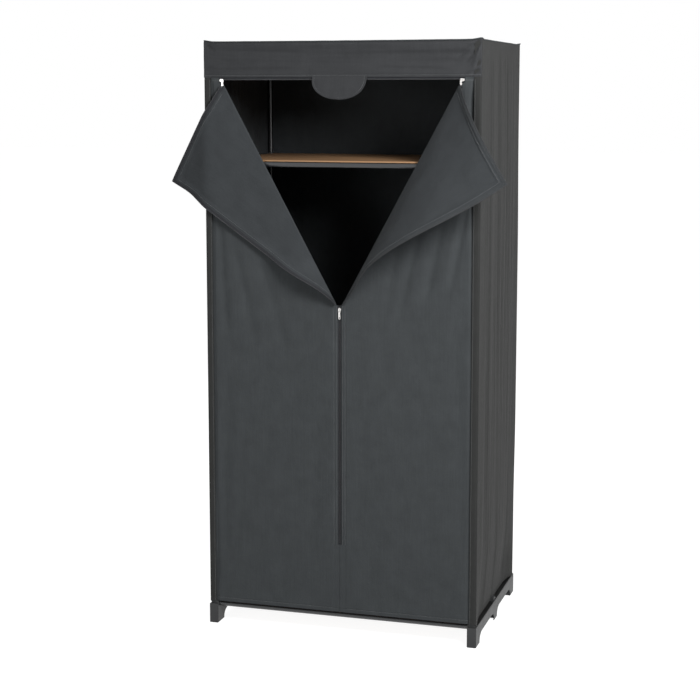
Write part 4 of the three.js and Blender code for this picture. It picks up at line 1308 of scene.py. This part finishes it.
CAD_LOOKS = {
    "base_side": PLASTIC, "post_joiner": PLASTIC, "shelf_side": PLASTIC, "top_side": PLASTIC,
    "base_crossbar": STEEL, "post_": STEEL, "shelf_rail": STEEL, "clothes_rail": STEEL,
    "top_rail": STEEL, "floor_board": BOARD, "shelf_board": BOARD, "slider": METAL,
}
WORN_EDGE = 0.0005
for name, node in nodes.items():
    look = next((look for start, look in CAD_LOOKS.items() if name.startswith(start)), None)
    if look:
        node.data.materials.clear()
        node.data.materials.append(look)
        for polygon in node.data.polygons:
            polygon.use_smooth = True
        node.data.set_sharp_from_angle(angle=radians(32))
    if look is PLASTIC:
        bevel = node.modifiers.new("worn edges", "BEVEL")
        bevel.width = WORN_EDGE
        bevel.segments = 2
        bevel.limit_method = "ANGLE"
        bevel.angle_limit = radians(40)
        bevel.harden_normals = True


# ------------------------------------------------------------------ floor, lights and camera
FLOOR_REACH = 40.0
FLOOR_GLOW = 0.92  # with the paper's own light it comes out white
AMBIENT = 0.30


def grey(value):
    return (value, value, value, 1)


def make_floor():
    """White paper where the camera, a reflection or clear plastic looks; grey otherwise."""
    mesh = bpy.data.meshes.new("floor")
    corners = ((-1, -1), (1, -1), (1, 1), (-1, 1))
    mesh.from_pydata([(FLOOR_REACH * x, FLOOR_REACH * y, 0) for x, y in corners], [],
                     [(0, 1, 2, 3)])
    floor = bpy.data.objects.new("floor", mesh)
    bpy.context.scene.collection.objects.link(floor)
    material = bpy.data.materials.new("floor")
    shaders = Nodes(material)
    shaders.tree.nodes.clear()
    glow = shaders.node("Emission", {"Strength": FLOOR_GLOW}).outputs[0]
    paper = shaders.node("BsdfDiffuse", {"Color": grey(0.28)}).outputs[0]
    plain = shaders.node("BsdfDiffuse", {"Color": grey(0.70)})
    seen = shaders.node("AddShader", {0: glow, 1: paper})
    shaders.node("OutputMaterial", {"Surface": shaders.choose(plain, seen)})
    mesh.materials.append(material)
    floor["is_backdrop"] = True


def make_world():
    """White where the camera, a reflection or clear plastic looks; plain light otherwise."""
    world = bpy.data.worlds.new("studio")
    bpy.context.scene.world = world
    shaders = Nodes(world)
    shaders.tree.nodes.clear()
    ambient = shaders.node("Background", {"Color": grey(1), "Strength": AMBIENT})
    white = shaders.node("Background", {"Color": grey(1)})
    shaders.node("OutputWorld", {"Surface": shaders.choose(ambient, white)})


def area_light(name, spot, target, size, power):
    light = bpy.data.lights.new(name, "AREA")
    light.shape = "RECTANGLE"
    light.size, light.size_y = size
    light.energy = power
    lamp = bpy.data.objects.new(name, light)
    lamp.location = spot
    aim = Vector(target) - Vector(spot)
    lamp.rotation_euler = aim.to_track_quat("-Z", "Y").to_euler()
    bpy.context.scene.collection.objects.link(lamp)


make_floor()
make_world()
area_light("key", (1.9, -1.9, 2.4), (0.2, 0, 1.2), (1.0, 1.0), 106)
area_light("behind", (-1.9, 3.4, 2.9), (0, 0, 1.1), (2.0, 2.0), 80)
area_light("fill", (-0.9, -2.7, 1.3), (0, 0, 1.0), (1.2, 1.0), 16)

# the photograph's camera, solved from corners of the cover and the feet; a pitch stands in
# for most of its lens shift
LENS = 82.588
SHIFT = -0.05
PITCH = 7.813
TURN = 16.689
camera_data = bpy.data.cameras.new("camera")
camera_data.sensor_width = 36
camera_data.lens = LENS
camera_data.shift_y = SHIFT
camera = bpy.data.objects.new("camera", camera_data)
camera.location = (1.3742, -4.6178, 1.5971)
camera.rotation_euler = (radians(90 - PITCH), 0, radians(TURN))
bpy.context.scene.collection.objects.link(camera)
bpy.context.scene.camera = camera
bpy.context.scene.view_settings.view_transform = "Standard"

boxes = {"cad": cad_box, "scene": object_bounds()}
({key: [list(map(float, corner)) for corner in box]
           for key, box in boxes.items()})
